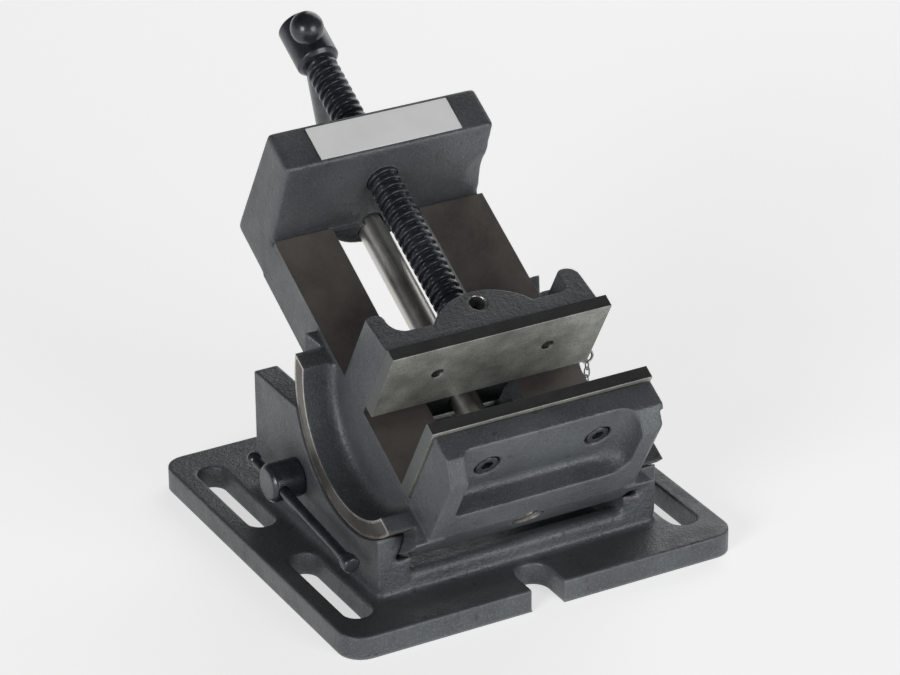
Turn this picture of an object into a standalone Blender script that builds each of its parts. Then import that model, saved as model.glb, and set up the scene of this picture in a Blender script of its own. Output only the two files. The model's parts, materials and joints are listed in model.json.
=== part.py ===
"""Tilting drill press vise: a slotted base with a round cradle, a vise body that tilts in it,
a sliding jaw on a lead screw with a sliding handle, a tilt lock and a pin on a short chain.

World frame: +X along the jaws, -Y to the front, +Z up, origin in the middle of the underside.
The body's pieces are written in the tilting frame: its origin is on the tilt axis, +Y runs back
along the rails and +Z is square to them.
"""
import math

import bmesh
import bpy
from mathutils import Matrix, Vector

# Clearances
GAP = 0.0003
CUT_OVERRUN = 0.002
ARC_STEP = math.radians(5)

# Widths along X: the body's, and how far each piece around it reaches past the one inside it
BODY_WIDTH = 0.0982
JAW_OVERHANG = 0.0009
TONGUE_ROOT_REACH = 0.002
TONGUE_TIP_REACH = 0.0061
FLANGE_REACH = 0.0141
CRADLE_REACH = 0.0012
SLOT_REACH = 0.0114
PLATE_REACH = 0.0142
SCREW_OFFSET = 0.0016

# Base plate
PLATE_DEPTH = 0.173
PLATE_THICKNESS = 0.010
PLATE_CORNER_RADIUS = 0.010
SLOT_WIDTH = 0.0125
SLOT_LENGTH = 0.058
SLOT_SPACING_Y = 0.085
NOTCH_WIDTH = 0.015
NOTCH_DEPTH = 0.020

# Cradle on the base
AXIS_Y = -0.038
CRADLE_FLOOR_RISE = 0.0122
CRADLE_FRONT_REACH = 0.0248
CRADLE_REAR_STANDOFF = 0.0355
WALL_DROP = 0.013
WALL_THICKNESS = 0.0109
WALL_FOOT_LAP = 0.0055
RIDGE_CLEARANCE = 0.0037
RIDGE_THICKNESS = 0.009
RIDGE_CREST_RADIUS = 0.0035
REAR_WEB_RISE = 0.0055

# Round sector of the body that turns in the cradle
TILT = math.radians(30)
SEAT_RADIUS = 0.0475
FLANGE_DEPTH = 0.0076
TONGUE_DEPTH = 0.0083
SECTOR_END_DROP = 0.0142
SECTOR_HUB_INSET = 0.0119
FLANGE_FILLET = 0.004
GROOVE_FLOOR_CLEARANCE = 0.0022

# Body casting
SLIDE_DROP = 0.0125
BODY_DEPTH = 0.0233
RAIL_THICKNESS = 0.010
SIDE_THICKNESS = 0.0075
RAIL_SLOT_WIDTH = 0.041
REAR_WALL_FOOT_Y = 0.0985
REAR_WALL_BATTER = 0.0066
REAR_WALL_HEIGHT = 0.039
REAR_WALL_CROWN_RADIUS = 0.001
WALL_GROOVE_WIDTH = 0.0022
WALL_GROOVE_DEPTH = 0.0027
BODY_REAR_Y = 0.1256
BODY_EDGE_RADIUS = 0.002
RIGHT_SIDE_DRAFT = 0.0016
FRONT_CORNER_RADIUS = 0.0065
WALL_BOSS_RADIUS = 0.0235
WALL_BOSS_RISE = 0.0075
FRONT_Y = -0.053
FRONT_TOE_Y = -0.0465
FRONT_TOE_HEIGHT = 0.0208
FRONT_WALL_THICKNESS = 0.009
BEVEL_DEPTH = 0.0085
BEVEL_HEIGHT = 0.0075
SCOOP_WIDTH = 0.013
SCOOP_DEPTH = 0.0055
SCOOP_HEIGHT = 0.015
SCOOP_RISE = 0.0155

# Pocket in front of the fixed jaw
POCKET_WIDTH = 0.0789
POCKET_DEPTH = 0.0106
POCKET_FLOOR_RISE = 0.0115
POCKET_CORNER_RADIUS = 0.009
POCKET_LEFT_RADIUS = 0.003
POCKET_RIGHT_RADIUS = 0.008
POCKET_FLOOR_RADIUS = 0.0035

# Jaw plates and their screws
JAW_HEIGHT = 0.0445
JAW_PLATE_THICKNESS = 0.0057
JAW_PLATE_PROUD = 0.0015
FIXED_FACE_Y = -0.0271
JAW_OPENING = 0.0308
MOVING_PLATE_LIFT = 0.0055
PLATE_SCREW_SPACING = 0.0506
PLATE_SCREW_RISE = 0.0262
PLATE_SCREW_RADIUS = 0.0025
PLATE_SCREW_HEAD_RADIUS = 0.005
PLATE_SCREW_HEAD_LENGTH = 0.006
PLATE_SCREW_TIP_RECESS = 0.0008
COUNTERBORE_RADIUS = 0.0058
COUNTERBORE_DEPTH = 0.0065
SOCKET_ACROSS_CORNERS = 0.0056
SOCKET_DEPTH = 0.003
SOCKET_SIDES = 6

# Moving jaw casting
MOVING_JAW_INSET = 0.0009
MOVING_JAW_DEPTH = 0.0196
MOVING_JAW_TOP_FALL = 0.0035
MOVING_JAW_WEB = 0.008
SPOT_FACE_DEPTH = 0.0005
LEFT_EAR_WIDTH = 0.0075
LEFT_EAR_RADIUS = 0.002
LEFT_NOTCH_RADIUS = 0.007
RIGHT_EAR_WIDTH = 0.009
RIGHT_EAR_RADIUS = 0.005
RIGHT_NOTCH_RADIUS = 0.004
EAR_INNER_RADIUS = 0.003
BOSS_HALF_WIDTH = 0.0222
BOSS_SIDE_DEPTH = 0.0085
GUIDE_DEPTH = 0.0175
GUIDE_LENGTH = 0.018
RETAINER_RADIUS = 0.003
RETAINER_LENGTH = 0.008
RETAINER_SET_BACK = 0.0135
RETAINER_COUNTERSINK = 0.0008

# Guide rod
ROD_RADIUS = 0.006
ROD_DROP = 0.0077
ROD_FRONT_Y = -0.0485
ROD_SEAT_DEPTH = 0.019
ROD_HOLE_RADIUS = 0.007
ROD_CHAMFER = 0.001

# Lead screw and its handle
SCREW_RISE = 0.0205
THREAD_RADIUS = 0.007
THREAD_DEPTH = 0.0016
THREAD_PITCH = 0.00375
THREAD_STEPS = 12
THREAD_LENGTH = 0.1369
JOURNAL_RADIUS = 0.0052
JOURNAL_LENGTH = 0.0145
JOURNAL_GROOVE_DEPTH = 0.0012
JOURNAL_GROOVE_WIDTH = 0.004
SCREW_HEAD_RADIUS = 0.0094
SCREW_HEAD_LENGTH = 0.0226
SCREW_HEAD_CHAMFER = 0.001
SCREW_SHOULDER_CHAMFER = 0.0018
HANDLE_HOLE_SET_BACK = 0.0093
HANDLE_ANGLE = math.radians(19.7)
HANDLE_RADIUS = 0.004
HANDLE_NEAR = 0.0156
HANDLE_FAR = 0.081
HANDLE_BALL_RADIUS = 0.00715

# Label on the rear wall
LABEL_WIDTH = 0.0655
LABEL_DEPTH = 0.0165
LABEL_THICKNESS = 0.0004
LABEL_SET_BACK = 0.00975
LABEL_GAP = 0.0001

# Tilt lock on the left wall
LOCK_INSET = 0.0029
LOCK_LIFT = 0.003
LOCK_HEAD_RADIUS = 0.0082
LOCK_HEAD_LENGTH = 0.0146
LOCK_SHANK_RADIUS = 0.005
LOCK_BAR_OFFSET = 0.0105
LOCK_BAR_ANGLE = math.radians(5.1)
LOCK_BAR_RADIUS = 0.0022
LOCK_BAR_REAR = 0.0192
LOCK_BAR_FRONT = 0.0642
LOCK_BALL_RADIUS = 0.0031
LOCK_CAP_RADIUS = 0.0036
LOCK_CAP_LENGTH = 0.007
SHOE_WIDTH = 0.010
SHOE_HEIGHT = 0.010

# Pin and chain on the right wall
EYE_INSET = 0.003
EYE_RISE = 0.0437
EYE_RADIUS = 0.0028
EYE_WIRE = 0.0007
EYE_STEM_LENGTH = 0.0052
EYE_STEM_RADIUS = 0.0012
EYE_SEAT_DEPTH = 0.006
LINK_COUNT = 5
LINK_LENGTH = 0.0056
LINK_WIDTH = 0.0032
LINK_WIRE = 0.0004
LINK_STEPS = 6
WIRE_SIDES = 6
PIN_RADIUS = 0.003
PIN_LENGTH = 0.015
PIN_EYE_RADIUS = 0.0019
PIN_EYE_WIRE = 0.0005

# Facets of round pieces
FINE_SIDES = 32
ROUND_SIDES = 24
SMALL_SIDES = 16

SEAM_DISTANCE = 0.00001

# Places that follow from the sizes above
HALF_BODY = BODY_WIDTH / 2
HALF_JAW = HALF_BODY + JAW_OVERHANG
HALF_MOVING_JAW = HALF_BODY - MOVING_JAW_INSET
TONGUE_ROOT_X = HALF_BODY + TONGUE_ROOT_REACH
TONGUE_TIP_X = HALF_BODY + TONGUE_TIP_REACH
FLANGE_X = HALF_BODY + FLANGE_REACH
HALF_CRADLE = FLANGE_X + CRADLE_REACH
SLOT_X = HALF_CRADLE + SLOT_REACH
HALF_PLATE = SLOT_X + PLATE_REACH
SCREW_X = -SCREW_OFFSET
FLANGE_INNER_RADIUS = SEAT_RADIUS - FLANGE_DEPTH
SECTOR_HUB_RADIUS = FLANGE_INNER_RADIUS - SECTOR_HUB_INSET
TONGUE_RADIUS = SEAT_RADIUS + TONGUE_DEPTH
AXIS_HEIGHT = PLATE_THICKNESS + CRADLE_FLOOR_RISE + TONGUE_RADIUS
WALL_HEIGHT = AXIS_HEIGHT - WALL_DROP
WALL_FOOT_HEIGHT = AXIS_HEIGHT - SEAT_RADIUS + WALL_FOOT_LAP
RIDGE_HEIGHT = AXIS_HEIGHT - TONGUE_RADIUS - RIDGE_CLEARANCE
REAR_WEB_HEIGHT = RIDGE_HEIGHT + REAR_WEB_RISE
LOCK_Y = AXIS_Y + SEAT_RADIUS - LOCK_INSET
LOCK_HEIGHT = AXIS_HEIGHT - SEAT_RADIUS + LOCK_LIFT
EYE_Y = AXIS_Y + SEAT_RADIUS - EYE_INSET
EYE_HEIGHT = PLATE_THICKNESS + EYE_RISE
SLIDE_Z = -SLIDE_DROP
BODY_BOTTOM_Z = SLIDE_Z - BODY_DEPTH
JAW_TOP_Z = SLIDE_Z + JAW_HEIGHT
CASTING_TOP_Z = JAW_TOP_Z - JAW_PLATE_PROUD
WALL_TOP_Z = SLIDE_Z + REAR_WALL_HEIGHT
FIXED_SEAT_Y = FIXED_FACE_Y - JAW_PLATE_THICKNESS
MOVING_FACE_Y = FIXED_FACE_Y + JAW_OPENING
MOVING_SEAT_Y = MOVING_FACE_Y + JAW_PLATE_THICKNESS
MOVING_REAR_Y = MOVING_SEAT_Y + MOVING_JAW_DEPTH
MOVING_SPOT_Y = MOVING_SEAT_Y + MOVING_JAW_WEB - SPOT_FACE_DEPTH
POCKET_BACK_Y = FRONT_Y + POCKET_DEPTH
PLATE_SCREW_Z = SLIDE_Z + PLATE_SCREW_RISE
SCREW_Z = SLIDE_Z + SCREW_RISE
ROD_Z = SLIDE_Z - ROD_DROP
THREAD_START_Y = MOVING_REAR_Y + GAP
HEAD_START_Y = THREAD_START_Y + THREAD_LENGTH
HANDLE_Y = HEAD_START_Y + HANDLE_HOLE_SET_BACK
GROOVE_RADIUS = TONGUE_RADIUS + GROOVE_FLOOR_CLEARANCE
CRADLE_FRONT_Y = AXIS_Y - CRADLE_FRONT_REACH
CRADLE_REAR_Y = AXIS_Y + SEAT_RADIUS + CRADLE_REAR_STANDOFF
WALL_INNER_X = HALF_BODY + GAP
WALL_FACE_X = HALF_CRADLE - WALL_THICKNESS
LABEL_Y = REAR_WALL_FOOT_Y + REAR_WALL_BATTER + LABEL_SET_BACK
SIDES = {"left": -1, "right": 1}


def clear_scene():
    for old in list(bpy.data.objects):
        bpy.data.objects.remove(old, do_unlink=True)


def material(name, colour, roughness, metallic):
    made = bpy.data.materials.new(name)
    made.use_nodes = True
    shader = made.node_tree.nodes["Principled BSDF"]
    shader.inputs["Base Color"].default_value = (*colour, 1)
    shader.inputs["Roughness"].default_value = roughness
    shader.inputs["Metallic"].default_value = metallic
    return made


def empty(name, location=(0, 0, 0), rotation=(0, 0, 0), parent=None):
    made = bpy.data.objects.new(name, None)
    made.location = location
    made.rotation_euler = rotation
    made.parent = parent
    bpy.context.scene.collection.objects.link(made)
    return made


def solid(name, shape, look, parent=None, smooth=False):
    """One object from a bmesh, with its faces pointing out."""
    bmesh.ops.recalc_face_normals(shape, faces=shape.faces)
    mesh = bpy.data.meshes.new(name)
    shape.to_mesh(mesh)
    shape.free()
    if smooth:
        mesh.shade_smooth()
        mesh.set_sharp_from_angle(angle=math.radians(35))
    made = bpy.data.objects.new(name, mesh)
    made.parent = parent
    if look:
        mesh.materials.append(look)
    bpy.context.scene.collection.objects.link(made)
    return made


def combine(target, shape, operation):
    """Cut a shape from the target, or join it on."""
    tool = solid(target.name + "_" + operation.lower(), shape, None, target.parent)
    tool.hide_render = True
    tool.display_type = "WIRE"
    modifier = target.modifiers.new(operation.title(), "BOOLEAN")
    modifier.operation = operation
    modifier.solver = "EXACT"
    modifier.object = tool


def cut(target, shape):
    combine(target, shape, "DIFFERENCE")


def join(target, shape):
    combine(target, shape, "UNION")


def arc(centre, radius, start, end):
    """Points on a circle from one angle to another, at most ARC_STEP apart."""
    steps = max(2, math.ceil(abs(end - start) / ARC_STEP - 0.001))
    angles = [start + (end - start) * k / steps for k in range(steps + 1)]
    return [(centre[0] + radius * math.cos(a), centre[1] + radius * math.sin(a)) for a in angles]


def rounded(corners, step=math.radians(15)):
    """An outline from (a, b, radius) corners, each turned with its own radius."""
    points = []
    for index, (a, b, radius) in enumerate(corners):
        here = Vector((a, b))
        before = Vector(corners[index - 1][:2])
        after = Vector(corners[(index + 1) % len(corners)][:2])
        if not radius:
            points.append((a, b))
            continue
        to_before = (before - here).normalized()
        to_after = (after - here).normalized()
        half = to_before.angle(to_after) / 2
        centre = here + (to_before + to_after).normalized() * radius / math.sin(half)
        first = here + to_before * radius / math.tan(half) - centre
        last = here + to_after * radius / math.tan(half) - centre
        turn = first.angle_signed(last)
        steps = max(2, round(abs(turn) / step))
        for k in range(steps + 1):
            spoke = first.copy()
            spoke.rotate(Matrix.Rotation(-turn * k / steps, 2))
            points.append(tuple(centre + spoke))
    return points


def loft(rings, closed=False):
    """A solid through rings of equally many points, capped at both ends or closed on itself."""
    shape = bmesh.new()
    rings = [[shape.verts.new(point) for point in ring] for ring in rings]
    count = len(rings[0])
    followers = rings[1:] + rings[:1] if closed else rings[1:]
    for one, other in zip(rings, followers):
        for k in range(count):
            after = (k + 1) % count
            shape.faces.new((one[k], one[after], other[after], other[k]))
    if not closed:
        shape.faces.new(rings[0])
        shape.faces.new(rings[-1])
    return shape


def prism(outline, axis, low, high):
    """An outline drawn square to an axis and stretched along it.

    The outline's two coordinates are the other two axes in X, Y, Z order.
    """
    position = "XYZ".index(axis)
    rings = []
    for level in (low, high):
        rings.append([(*point[:position], level, *point[position:]) for point in outline])
    return loft(rings)


def block(low, high):
    outline = [(low[0], low[1]), (high[0], low[1]), (high[0], high[1]), (low[0], high[1])]
    return prism(outline, "Z", low[2], high[2])


def lathe(profile, sides=ROUND_SIDES, turn=None):
    """A turned solid about the Y axis, from (y, radius) points; turn moves it into place."""
    shape = bmesh.new()
    rings = []
    for y, radius in profile:
        if radius:
            angles = [2 * math.pi * k / sides for k in range(sides)]
            rings.append([shape.verts.new((radius * math.cos(a), y, radius * math.sin(a))) for a in angles])
        else:
            rings.append([shape.verts.new((0, y, 0))])
    for one, other in zip(rings, rings[1:]):
        for k in range(sides):
            after = (k + 1) % sides
            near = [one[k % len(one)], one[after % len(one)]]
            far = [other[after % len(other)], other[k % len(other)]]
            shape.faces.new(list(dict.fromkeys(near + far)))
    for ring in (rings[0], rings[-1]):
        if len(ring) > 1:
            shape.faces.new(ring)
    if turn:
        bmesh.ops.transform(shape, matrix=turn, verts=shape.verts)
    return shape


def rod_shape(start, end, radius, sides=ROUND_SIDES, chamfer=0.0):
    """A round bar from one point to another, with chamfered ends if asked."""
    way = Vector(end) - Vector(start)
    turn = Matrix.Translation(start) @ way.to_track_quat("Y", "Z").to_matrix().to_4x4()
    profile = [(chamfer, radius), (way.length - chamfer, radius)]
    if chamfer:
        profile = [(0, radius - chamfer), *profile, (way.length, radius - chamfer)]
    return lathe(profile, sides, turn)


def ball_shape(radius, centre=(0, 0, 0), sides=SMALL_SIDES):
    rings = sides // 2
    angles = [math.pi * k / rings for k in range(rings + 1)]
    profile = [(-radius * math.cos(a), radius * math.sin(a)) for a in angles[1:-1]]
    profile = [(-radius, 0), *profile, (radius, 0)]
    return lathe(profile, sides, Matrix.Translation(centre))


def merged(*shapes):
    """Several separate shapes as the volumes of one cutter."""
    total = shapes[0]
    for shape in shapes[1:]:
        scratch = bpy.data.meshes.new("scratch")
        shape.to_mesh(scratch)
        shape.free()
        total.from_mesh(scratch)
        bpy.data.meshes.remove(scratch)
    return total


def turned_sector(profile, drop=0.0):
    """A profile of (x, radius) points swept under the X axis to the level plane at a drop below it."""
    steps = math.ceil(math.pi / ARC_STEP)
    rings = []
    for k in range(steps + 1):
        ring = []
        for x, radius in profile:
            lift = math.asin(drop / radius)
            angle = -math.pi + lift + (math.pi - 2 * lift) * k / steps
            ring.append((x, radius * math.cos(angle), radius * math.sin(angle)))
        rings.append(ring)
    return loft(rings)


def wire_loop(length, width, wire, steps=LINK_STEPS):
    """A closed chain link in the XZ plane: two straight sides and two half rounds."""
    reach = (length - width) / 2
    bend = width / 2 - wire
    route = []
    for end in (1, -1):
        for k in range(steps + 1):
            angle = math.pi * k / steps
            side = end * bend * math.cos(angle)
            route.append((Vector((side, 0, end * (reach + bend * math.sin(angle)))), end * angle, end))
    rings = []
    for centre, angle, end in route:
        out = Vector((end * math.cos(angle), 0, end * math.sin(abs(angle))))
        ring = []
        for k in range(WIRE_SIDES):
            spin = 2 * math.pi * (k + 0.5) / WIRE_SIDES
            offset = out * math.cos(spin) + Vector((0, math.sin(spin), 0))
            ring.append(centre + offset * wire)
        rings.append(ring)
    return loft(rings, closed=True)


def thread_shape(start, end):
    """A right-hand, single-start thread about the Y axis, pressed flat at both ends."""
    root = THREAD_RADIUS - THREAD_DEPTH
    turns = math.ceil((end - start) / THREAD_PITCH) + 2
    shape = bmesh.new()

    def point(step, share, radius):
        angle = 2 * math.pi * step / THREAD_STEPS
        y = start + THREAD_PITCH * (step / THREAD_STEPS + share - 1)
        inside = start < y < end
        radius = radius if inside else root
        y = min(max(y, start), end)
        return shape.verts.new((radius * math.cos(angle), y, -radius * math.sin(angle)))

    count = turns * THREAD_STEPS
    crest = [point(k, 0, THREAD_RADIUS) for k in range(count + 1)]
    valley = [point(k, 0.5, root) for k in range(count + 1)]
    for k in range(count):
        shape.faces.new((crest[k], crest[k + 1], valley[k + 1], valley[k]))
        if k + 1 + THREAD_STEPS <= count:
            turn_on = k + THREAD_STEPS
            shape.faces.new((valley[k], valley[k + 1], crest[turn_on + 1], crest[turn_on]))
    bmesh.ops.remove_doubles(shape, verts=shape.verts, dist=SEAM_DISTANCE)
    bmesh.ops.dissolve_degenerate(shape, edges=shape.edges, dist=SEAM_DISTANCE)
    for edges in ring_edges(shape):
        bmesh.ops.contextual_create(shape, geom=edges)
    return shape


def ring_edges(shape):
    """The open rims of a tube, one list of edges for each."""
    left = {edge for edge in shape.edges if edge.is_boundary}
    rims = []
    while left:
        seed = left.pop()
        rim = [seed]
        grown = True
        while grown:
            ends = {vert for edge in rim for vert in edge.verts}
            near = [edge for edge in left if ends & set(edge.verts)]
            left -= set(near)
            rim += near
            grown = bool(near)
        rims.append(rim)
    return rims


def socket_screw(name, look, parent, head_y, tip_y, x, z, facing):
    """A socket head screw along Y. facing is the way its head looks, -1 to the front."""
    head_end = head_y + facing * PLATE_SCREW_HEAD_LENGTH
    chamfer = PLATE_SCREW_HEAD_RADIUS / 12
    profile = [
        (tip_y, PLATE_SCREW_RADIUS - chamfer),
        (tip_y + facing * chamfer, PLATE_SCREW_RADIUS),
        (head_y, PLATE_SCREW_RADIUS),
        (head_y, PLATE_SCREW_HEAD_RADIUS),
        (head_end - facing * chamfer, PLATE_SCREW_HEAD_RADIUS),
        (head_end, PLATE_SCREW_HEAD_RADIUS - chamfer),
    ]
    place = Matrix.Translation((x, 0, z))
    screw = solid(name, lathe(profile, SMALL_SIDES, place), look, parent, smooth=True)
    mouth = head_end + facing * CUT_OVERRUN
    floor = head_end - facing * SOCKET_DEPTH
    low, high = sorted((mouth, floor))
    cut(screw, rod_shape((x, low, z), (x, high, z), SOCKET_ACROSS_CORNERS / 2, SOCKET_SIDES))
    return screw


def slot_outline(x, y, width, length):
    """A slot along Y with round ends, centred on a point."""
    reach = (length - width) / 2
    rear = arc((x, y + reach), width / 2, 0, math.pi)
    front = arc((x, y - reach), width / 2, math.pi, 2 * math.pi)
    return rear + front


def wall_outline(top_z, radius):
    """Side view of a cradle wall: front pillar, round seat and level rear top, in world Y and Z."""
    front_angle = -math.pi / 2 - math.asin(CRADLE_FRONT_REACH / radius)
    rear_angle = -math.asin((AXIS_HEIGHT - top_z) / radius)
    seat = arc((AXIS_Y, AXIS_HEIGHT), radius, front_angle, rear_angle)
    sunk = PLATE_THICKNESS / 2
    return [(CRADLE_REAR_Y, sunk), (CRADLE_FRONT_Y, sunk), *seat, (CRADLE_REAR_Y, top_z)]


def foot_outline():
    """Side view of the thick lower part of a cradle wall, in world Y and Z."""
    sunk = PLATE_THICKNESS / 2
    return [
        (CRADLE_FRONT_Y, sunk),
        (CRADLE_REAR_Y, sunk),
        (CRADLE_REAR_Y, WALL_FOOT_HEIGHT),
        (CRADLE_FRONT_Y, WALL_FOOT_HEIGHT),
    ]


def side_span(side, near, far):
    """A low and high X for a stretch that is mirrored left and right."""
    return sorted((side * near, side * far))


def base_casting(look):
    half_depth = PLATE_DEPTH / 2
    corner = PLATE_CORNER_RADIUS
    plate_outline = rounded([
        (-HALF_PLATE, -half_depth, corner),
        (HALF_PLATE, -half_depth, corner),
        (HALF_PLATE, half_depth, corner),
        (-HALF_PLATE, half_depth, corner),
    ])
    base = solid("base_casting", prism(plate_outline, "Z", 0, PLATE_THICKNESS), look)
    for side in SIDES.values():
        low, high = side_span(side, WALL_FACE_X, HALF_CRADLE)
        join(base, prism(wall_outline(WALL_HEIGHT, SEAT_RADIUS + GAP), "X", low, high))
        low, high = side_span(side, WALL_INNER_X, HALF_CRADLE - WALL_THICKNESS / 2)
        join(base, prism(foot_outline(), "X", low, high))
    crest = RIDGE_CREST_RADIUS
    rear_web_y = CRADLE_REAR_Y - RIDGE_THICKNESS
    for front_y, height in ((CRADLE_FRONT_Y, RIDGE_HEIGHT), (rear_web_y, REAR_WEB_HEIGHT)):
        rear_y = front_y + RIDGE_THICKNESS
        sunk = PLATE_THICKNESS / 2
        foot = [(front_y, sunk, 0), (rear_y, sunk, 0)]
        web = rounded([*foot, (rear_y, height, crest), (front_y, height, crest)])
        join(base, prism(web, "X", -WALL_FACE_X, WALL_FACE_X))
    cut(base, seat_cutter())
    cut(base, plate_cutters())
    cut(base, lock_bore())
    cut(base, shoe_shape(GAP, CUT_OVERRUN))
    return base


def seat_cutter():
    """The path of the body's flange and tongue through both cradle walls."""
    root = TONGUE_ROOT_X + GAP
    tip = TONGUE_TIP_X + GAP
    flare = (tip - root) / (TONGUE_RADIUS - SEAT_RADIUS)
    floor_x = root + flare * (GROOVE_RADIUS - SEAT_RADIUS)
    outer = HALF_CRADLE + CUT_OVERRUN
    inner = WALL_INNER_X - CUT_OVERRUN
    shapes = []
    for side in SIDES.values():
        profile = [
            (side * inner, FLANGE_INNER_RADIUS),
            (side * outer, FLANGE_INNER_RADIUS),
            (side * outer, SEAT_RADIUS + GAP),
            (side * root, SEAT_RADIUS + GAP),
            (side * floor_x, GROOVE_RADIUS),
            (side * inner, GROOVE_RADIUS),
        ]
        sector = turned_sector(profile)
        bmesh.ops.transform(sector, matrix=Matrix.Translation((0, AXIS_Y, AXIS_HEIGHT)), verts=sector.verts)
        shapes.append(sector)
    return merged(*shapes)


def plate_cutters():
    """The four bolt slots and the notch in the front edge."""
    low = -CUT_OVERRUN
    high = PLATE_THICKNESS + CUT_OVERRUN
    shapes = []
    for side in SIDES.values():
        for y in (-SLOT_SPACING_Y / 2, SLOT_SPACING_Y / 2):
            shapes.append(prism(slot_outline(side * SLOT_X, y, SLOT_WIDTH, SLOT_LENGTH), "Z", low, high))
    radius = NOTCH_WIDTH / 2
    mouth = -PLATE_DEPTH / 2 - CUT_OVERRUN
    end = -PLATE_DEPTH / 2 + NOTCH_DEPTH - radius
    outline = [(-radius, mouth), (radius, mouth), *arc((0, end), radius, 0, math.pi)]
    shapes.append(prism(outline, "Z", low, high))
    return merged(*shapes)


def shoe_direction():
    """Unit vector in world Y and Z from the tilt axis to the lock screw."""
    return Vector((0, LOCK_Y - AXIS_Y, LOCK_HEIGHT - AXIS_HEIGHT)).normalized()


def shoe_frame(distance):
    """A frame whose +Z runs from the tilt axis through the lock screw, at a distance along it."""
    out = shoe_direction()
    turn = Vector((0, 0, 1)).rotation_difference(out).to_matrix().to_4x4()
    return Matrix.Translation(Vector((0, AXIS_Y, AXIS_HEIGHT)) + out * distance) @ turn


def shoe_shape(clearance=0.0, overrun=0.0):
    """The clamp shoe under the tongue, or with a clearance its pocket."""
    inner = -(WALL_INNER_X + GAP) + overrun
    outer = -WALL_FACE_X - clearance
    half = SHOE_WIDTH / 2 + clearance
    shape = block((outer, -half, -clearance), (inner, half, SHOE_HEIGHT + clearance))
    bmesh.ops.transform(shape, matrix=shoe_frame(TONGUE_RADIUS + GAP), verts=shape.verts)
    return shape


def lock_bore():
    """The lock screw's hole through the left wall, which meets the shoe's pocket."""
    start = (-HALF_CRADLE - CUT_OVERRUN, LOCK_Y, LOCK_HEIGHT)
    end = (-WALL_FACE_X, LOCK_Y, LOCK_HEIGHT)
    return rod_shape(start, end, LOCK_SHANK_RADIUS + GAP)


def body_outline():
    """Side view of the body: fixed jaw, slide and rear wall, in the tilting frame's Y and Z."""
    soft = BODY_EDGE_RADIUS
    toe_z = BODY_BOTTOM_Z + FRONT_TOE_HEIGHT
    groove_z = SLIDE_Z - WALL_GROOVE_DEPTH
    return rounded([
        (FIXED_SEAT_Y - GAP, SLIDE_Z, 0),
        (REAR_WALL_FOOT_Y, SLIDE_Z, 0),
        (REAR_WALL_FOOT_Y, groove_z, 0),
        (REAR_WALL_FOOT_Y + WALL_GROOVE_WIDTH, groove_z, 0),
        (REAR_WALL_FOOT_Y + REAR_WALL_BATTER, WALL_TOP_Z, soft / 2),
        (BODY_REAR_Y, WALL_TOP_Z, REAR_WALL_CROWN_RADIUS),
        (BODY_REAR_Y, BODY_BOTTOM_Z, soft),
        (FRONT_TOE_Y, BODY_BOTTOM_Z, soft / 2),
        (FRONT_Y, toe_z, soft / 2),
        (FRONT_Y, CASTING_TOP_Z - BEVEL_HEIGHT, soft / 2),
        (FRONT_Y + BEVEL_DEPTH, CASTING_TOP_Z, soft / 2),
        (FIXED_SEAT_Y - GAP, CASTING_TOP_Z, 0),
    ], step=math.radians(30))


def sector_shape(side):
    """Cheek, flange and flared tongue of one side, cut level below the tilt axis."""
    inner = HALF_BODY - SIDE_THICKNESS
    middle_x = HALF_BODY + FLANGE_FILLET
    middle_r = FLANGE_INNER_RADIUS - FLANGE_FILLET
    turns = (0, math.pi / 6, math.pi / 3, math.pi / 2)
    fillet = [(middle_x - FLANGE_FILLET * math.cos(a), middle_r + FLANGE_FILLET * math.sin(a)) for a in turns]
    profile = [
        (inner, SECTOR_HUB_RADIUS),
        (HALF_BODY, SECTOR_HUB_RADIUS),
        *fillet,
        (FLANGE_X, FLANGE_INNER_RADIUS),
        (FLANGE_X, SEAT_RADIUS),
        (TONGUE_ROOT_X, SEAT_RADIUS),
        (TONGUE_TIP_X, TONGUE_RADIUS),
        (inner, TONGUE_RADIUS),
    ]
    return turned_sector([(side * x, r) for x, r in profile], SECTOR_END_DROP)


def vise_body(look, frame):
    body = solid("vise_body", prism(body_outline(), "X", -HALF_BODY, HALF_BODY), look, frame)
    for side in SIDES.values():
        join(body, sector_shape(side))
    cut(body, under_cutter())
    join(body, wall_boss())
    cut(body, rail_slot_cutter())
    cut(body, draft_cutter())
    cut(body, corner_cutter())
    cut(body, pocket_cutter())
    cut(body, body_bores())
    cut(body, scoop_shape())
    return body


def wall_boss():
    """The round lower half of the screw's boss, which shows between the rails."""
    centre = (SCREW_X, SLIDE_Z + WALL_BOSS_RISE)
    chord = SLIDE_Z - RAIL_THICKNESS / 2
    tilt = math.asin((centre[1] - chord) / WALL_BOSS_RADIUS)
    outline = arc(centre, WALL_BOSS_RADIUS, math.pi + tilt, 2 * math.pi - tilt)
    return prism(outline, "Y", REAR_WALL_FOOT_Y, BODY_REAR_Y - BODY_EDGE_RADIUS)


def under_cutter():
    """The hollow under the rails, open below and at the rear."""
    half = HALF_BODY - SIDE_THICKNESS
    low = -TONGUE_RADIUS - CUT_OVERRUN
    high = SLIDE_Z - RAIL_THICKNESS
    front = FRONT_TOE_Y + FRONT_WALL_THICKNESS
    return block((-half, front, low), (half, BODY_REAR_Y + CUT_OVERRUN, high))


def rail_slot_cutter():
    """The opening between the two rails."""
    low = (SCREW_X - RAIL_SLOT_WIDTH / 2, FIXED_FACE_Y, SLIDE_Z - RAIL_THICKNESS - CUT_OVERRUN)
    high = (SCREW_X + RAIL_SLOT_WIDTH / 2, REAR_WALL_FOOT_Y, SLIDE_Z + CUT_OVERRUN)
    return block(low, high)


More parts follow.
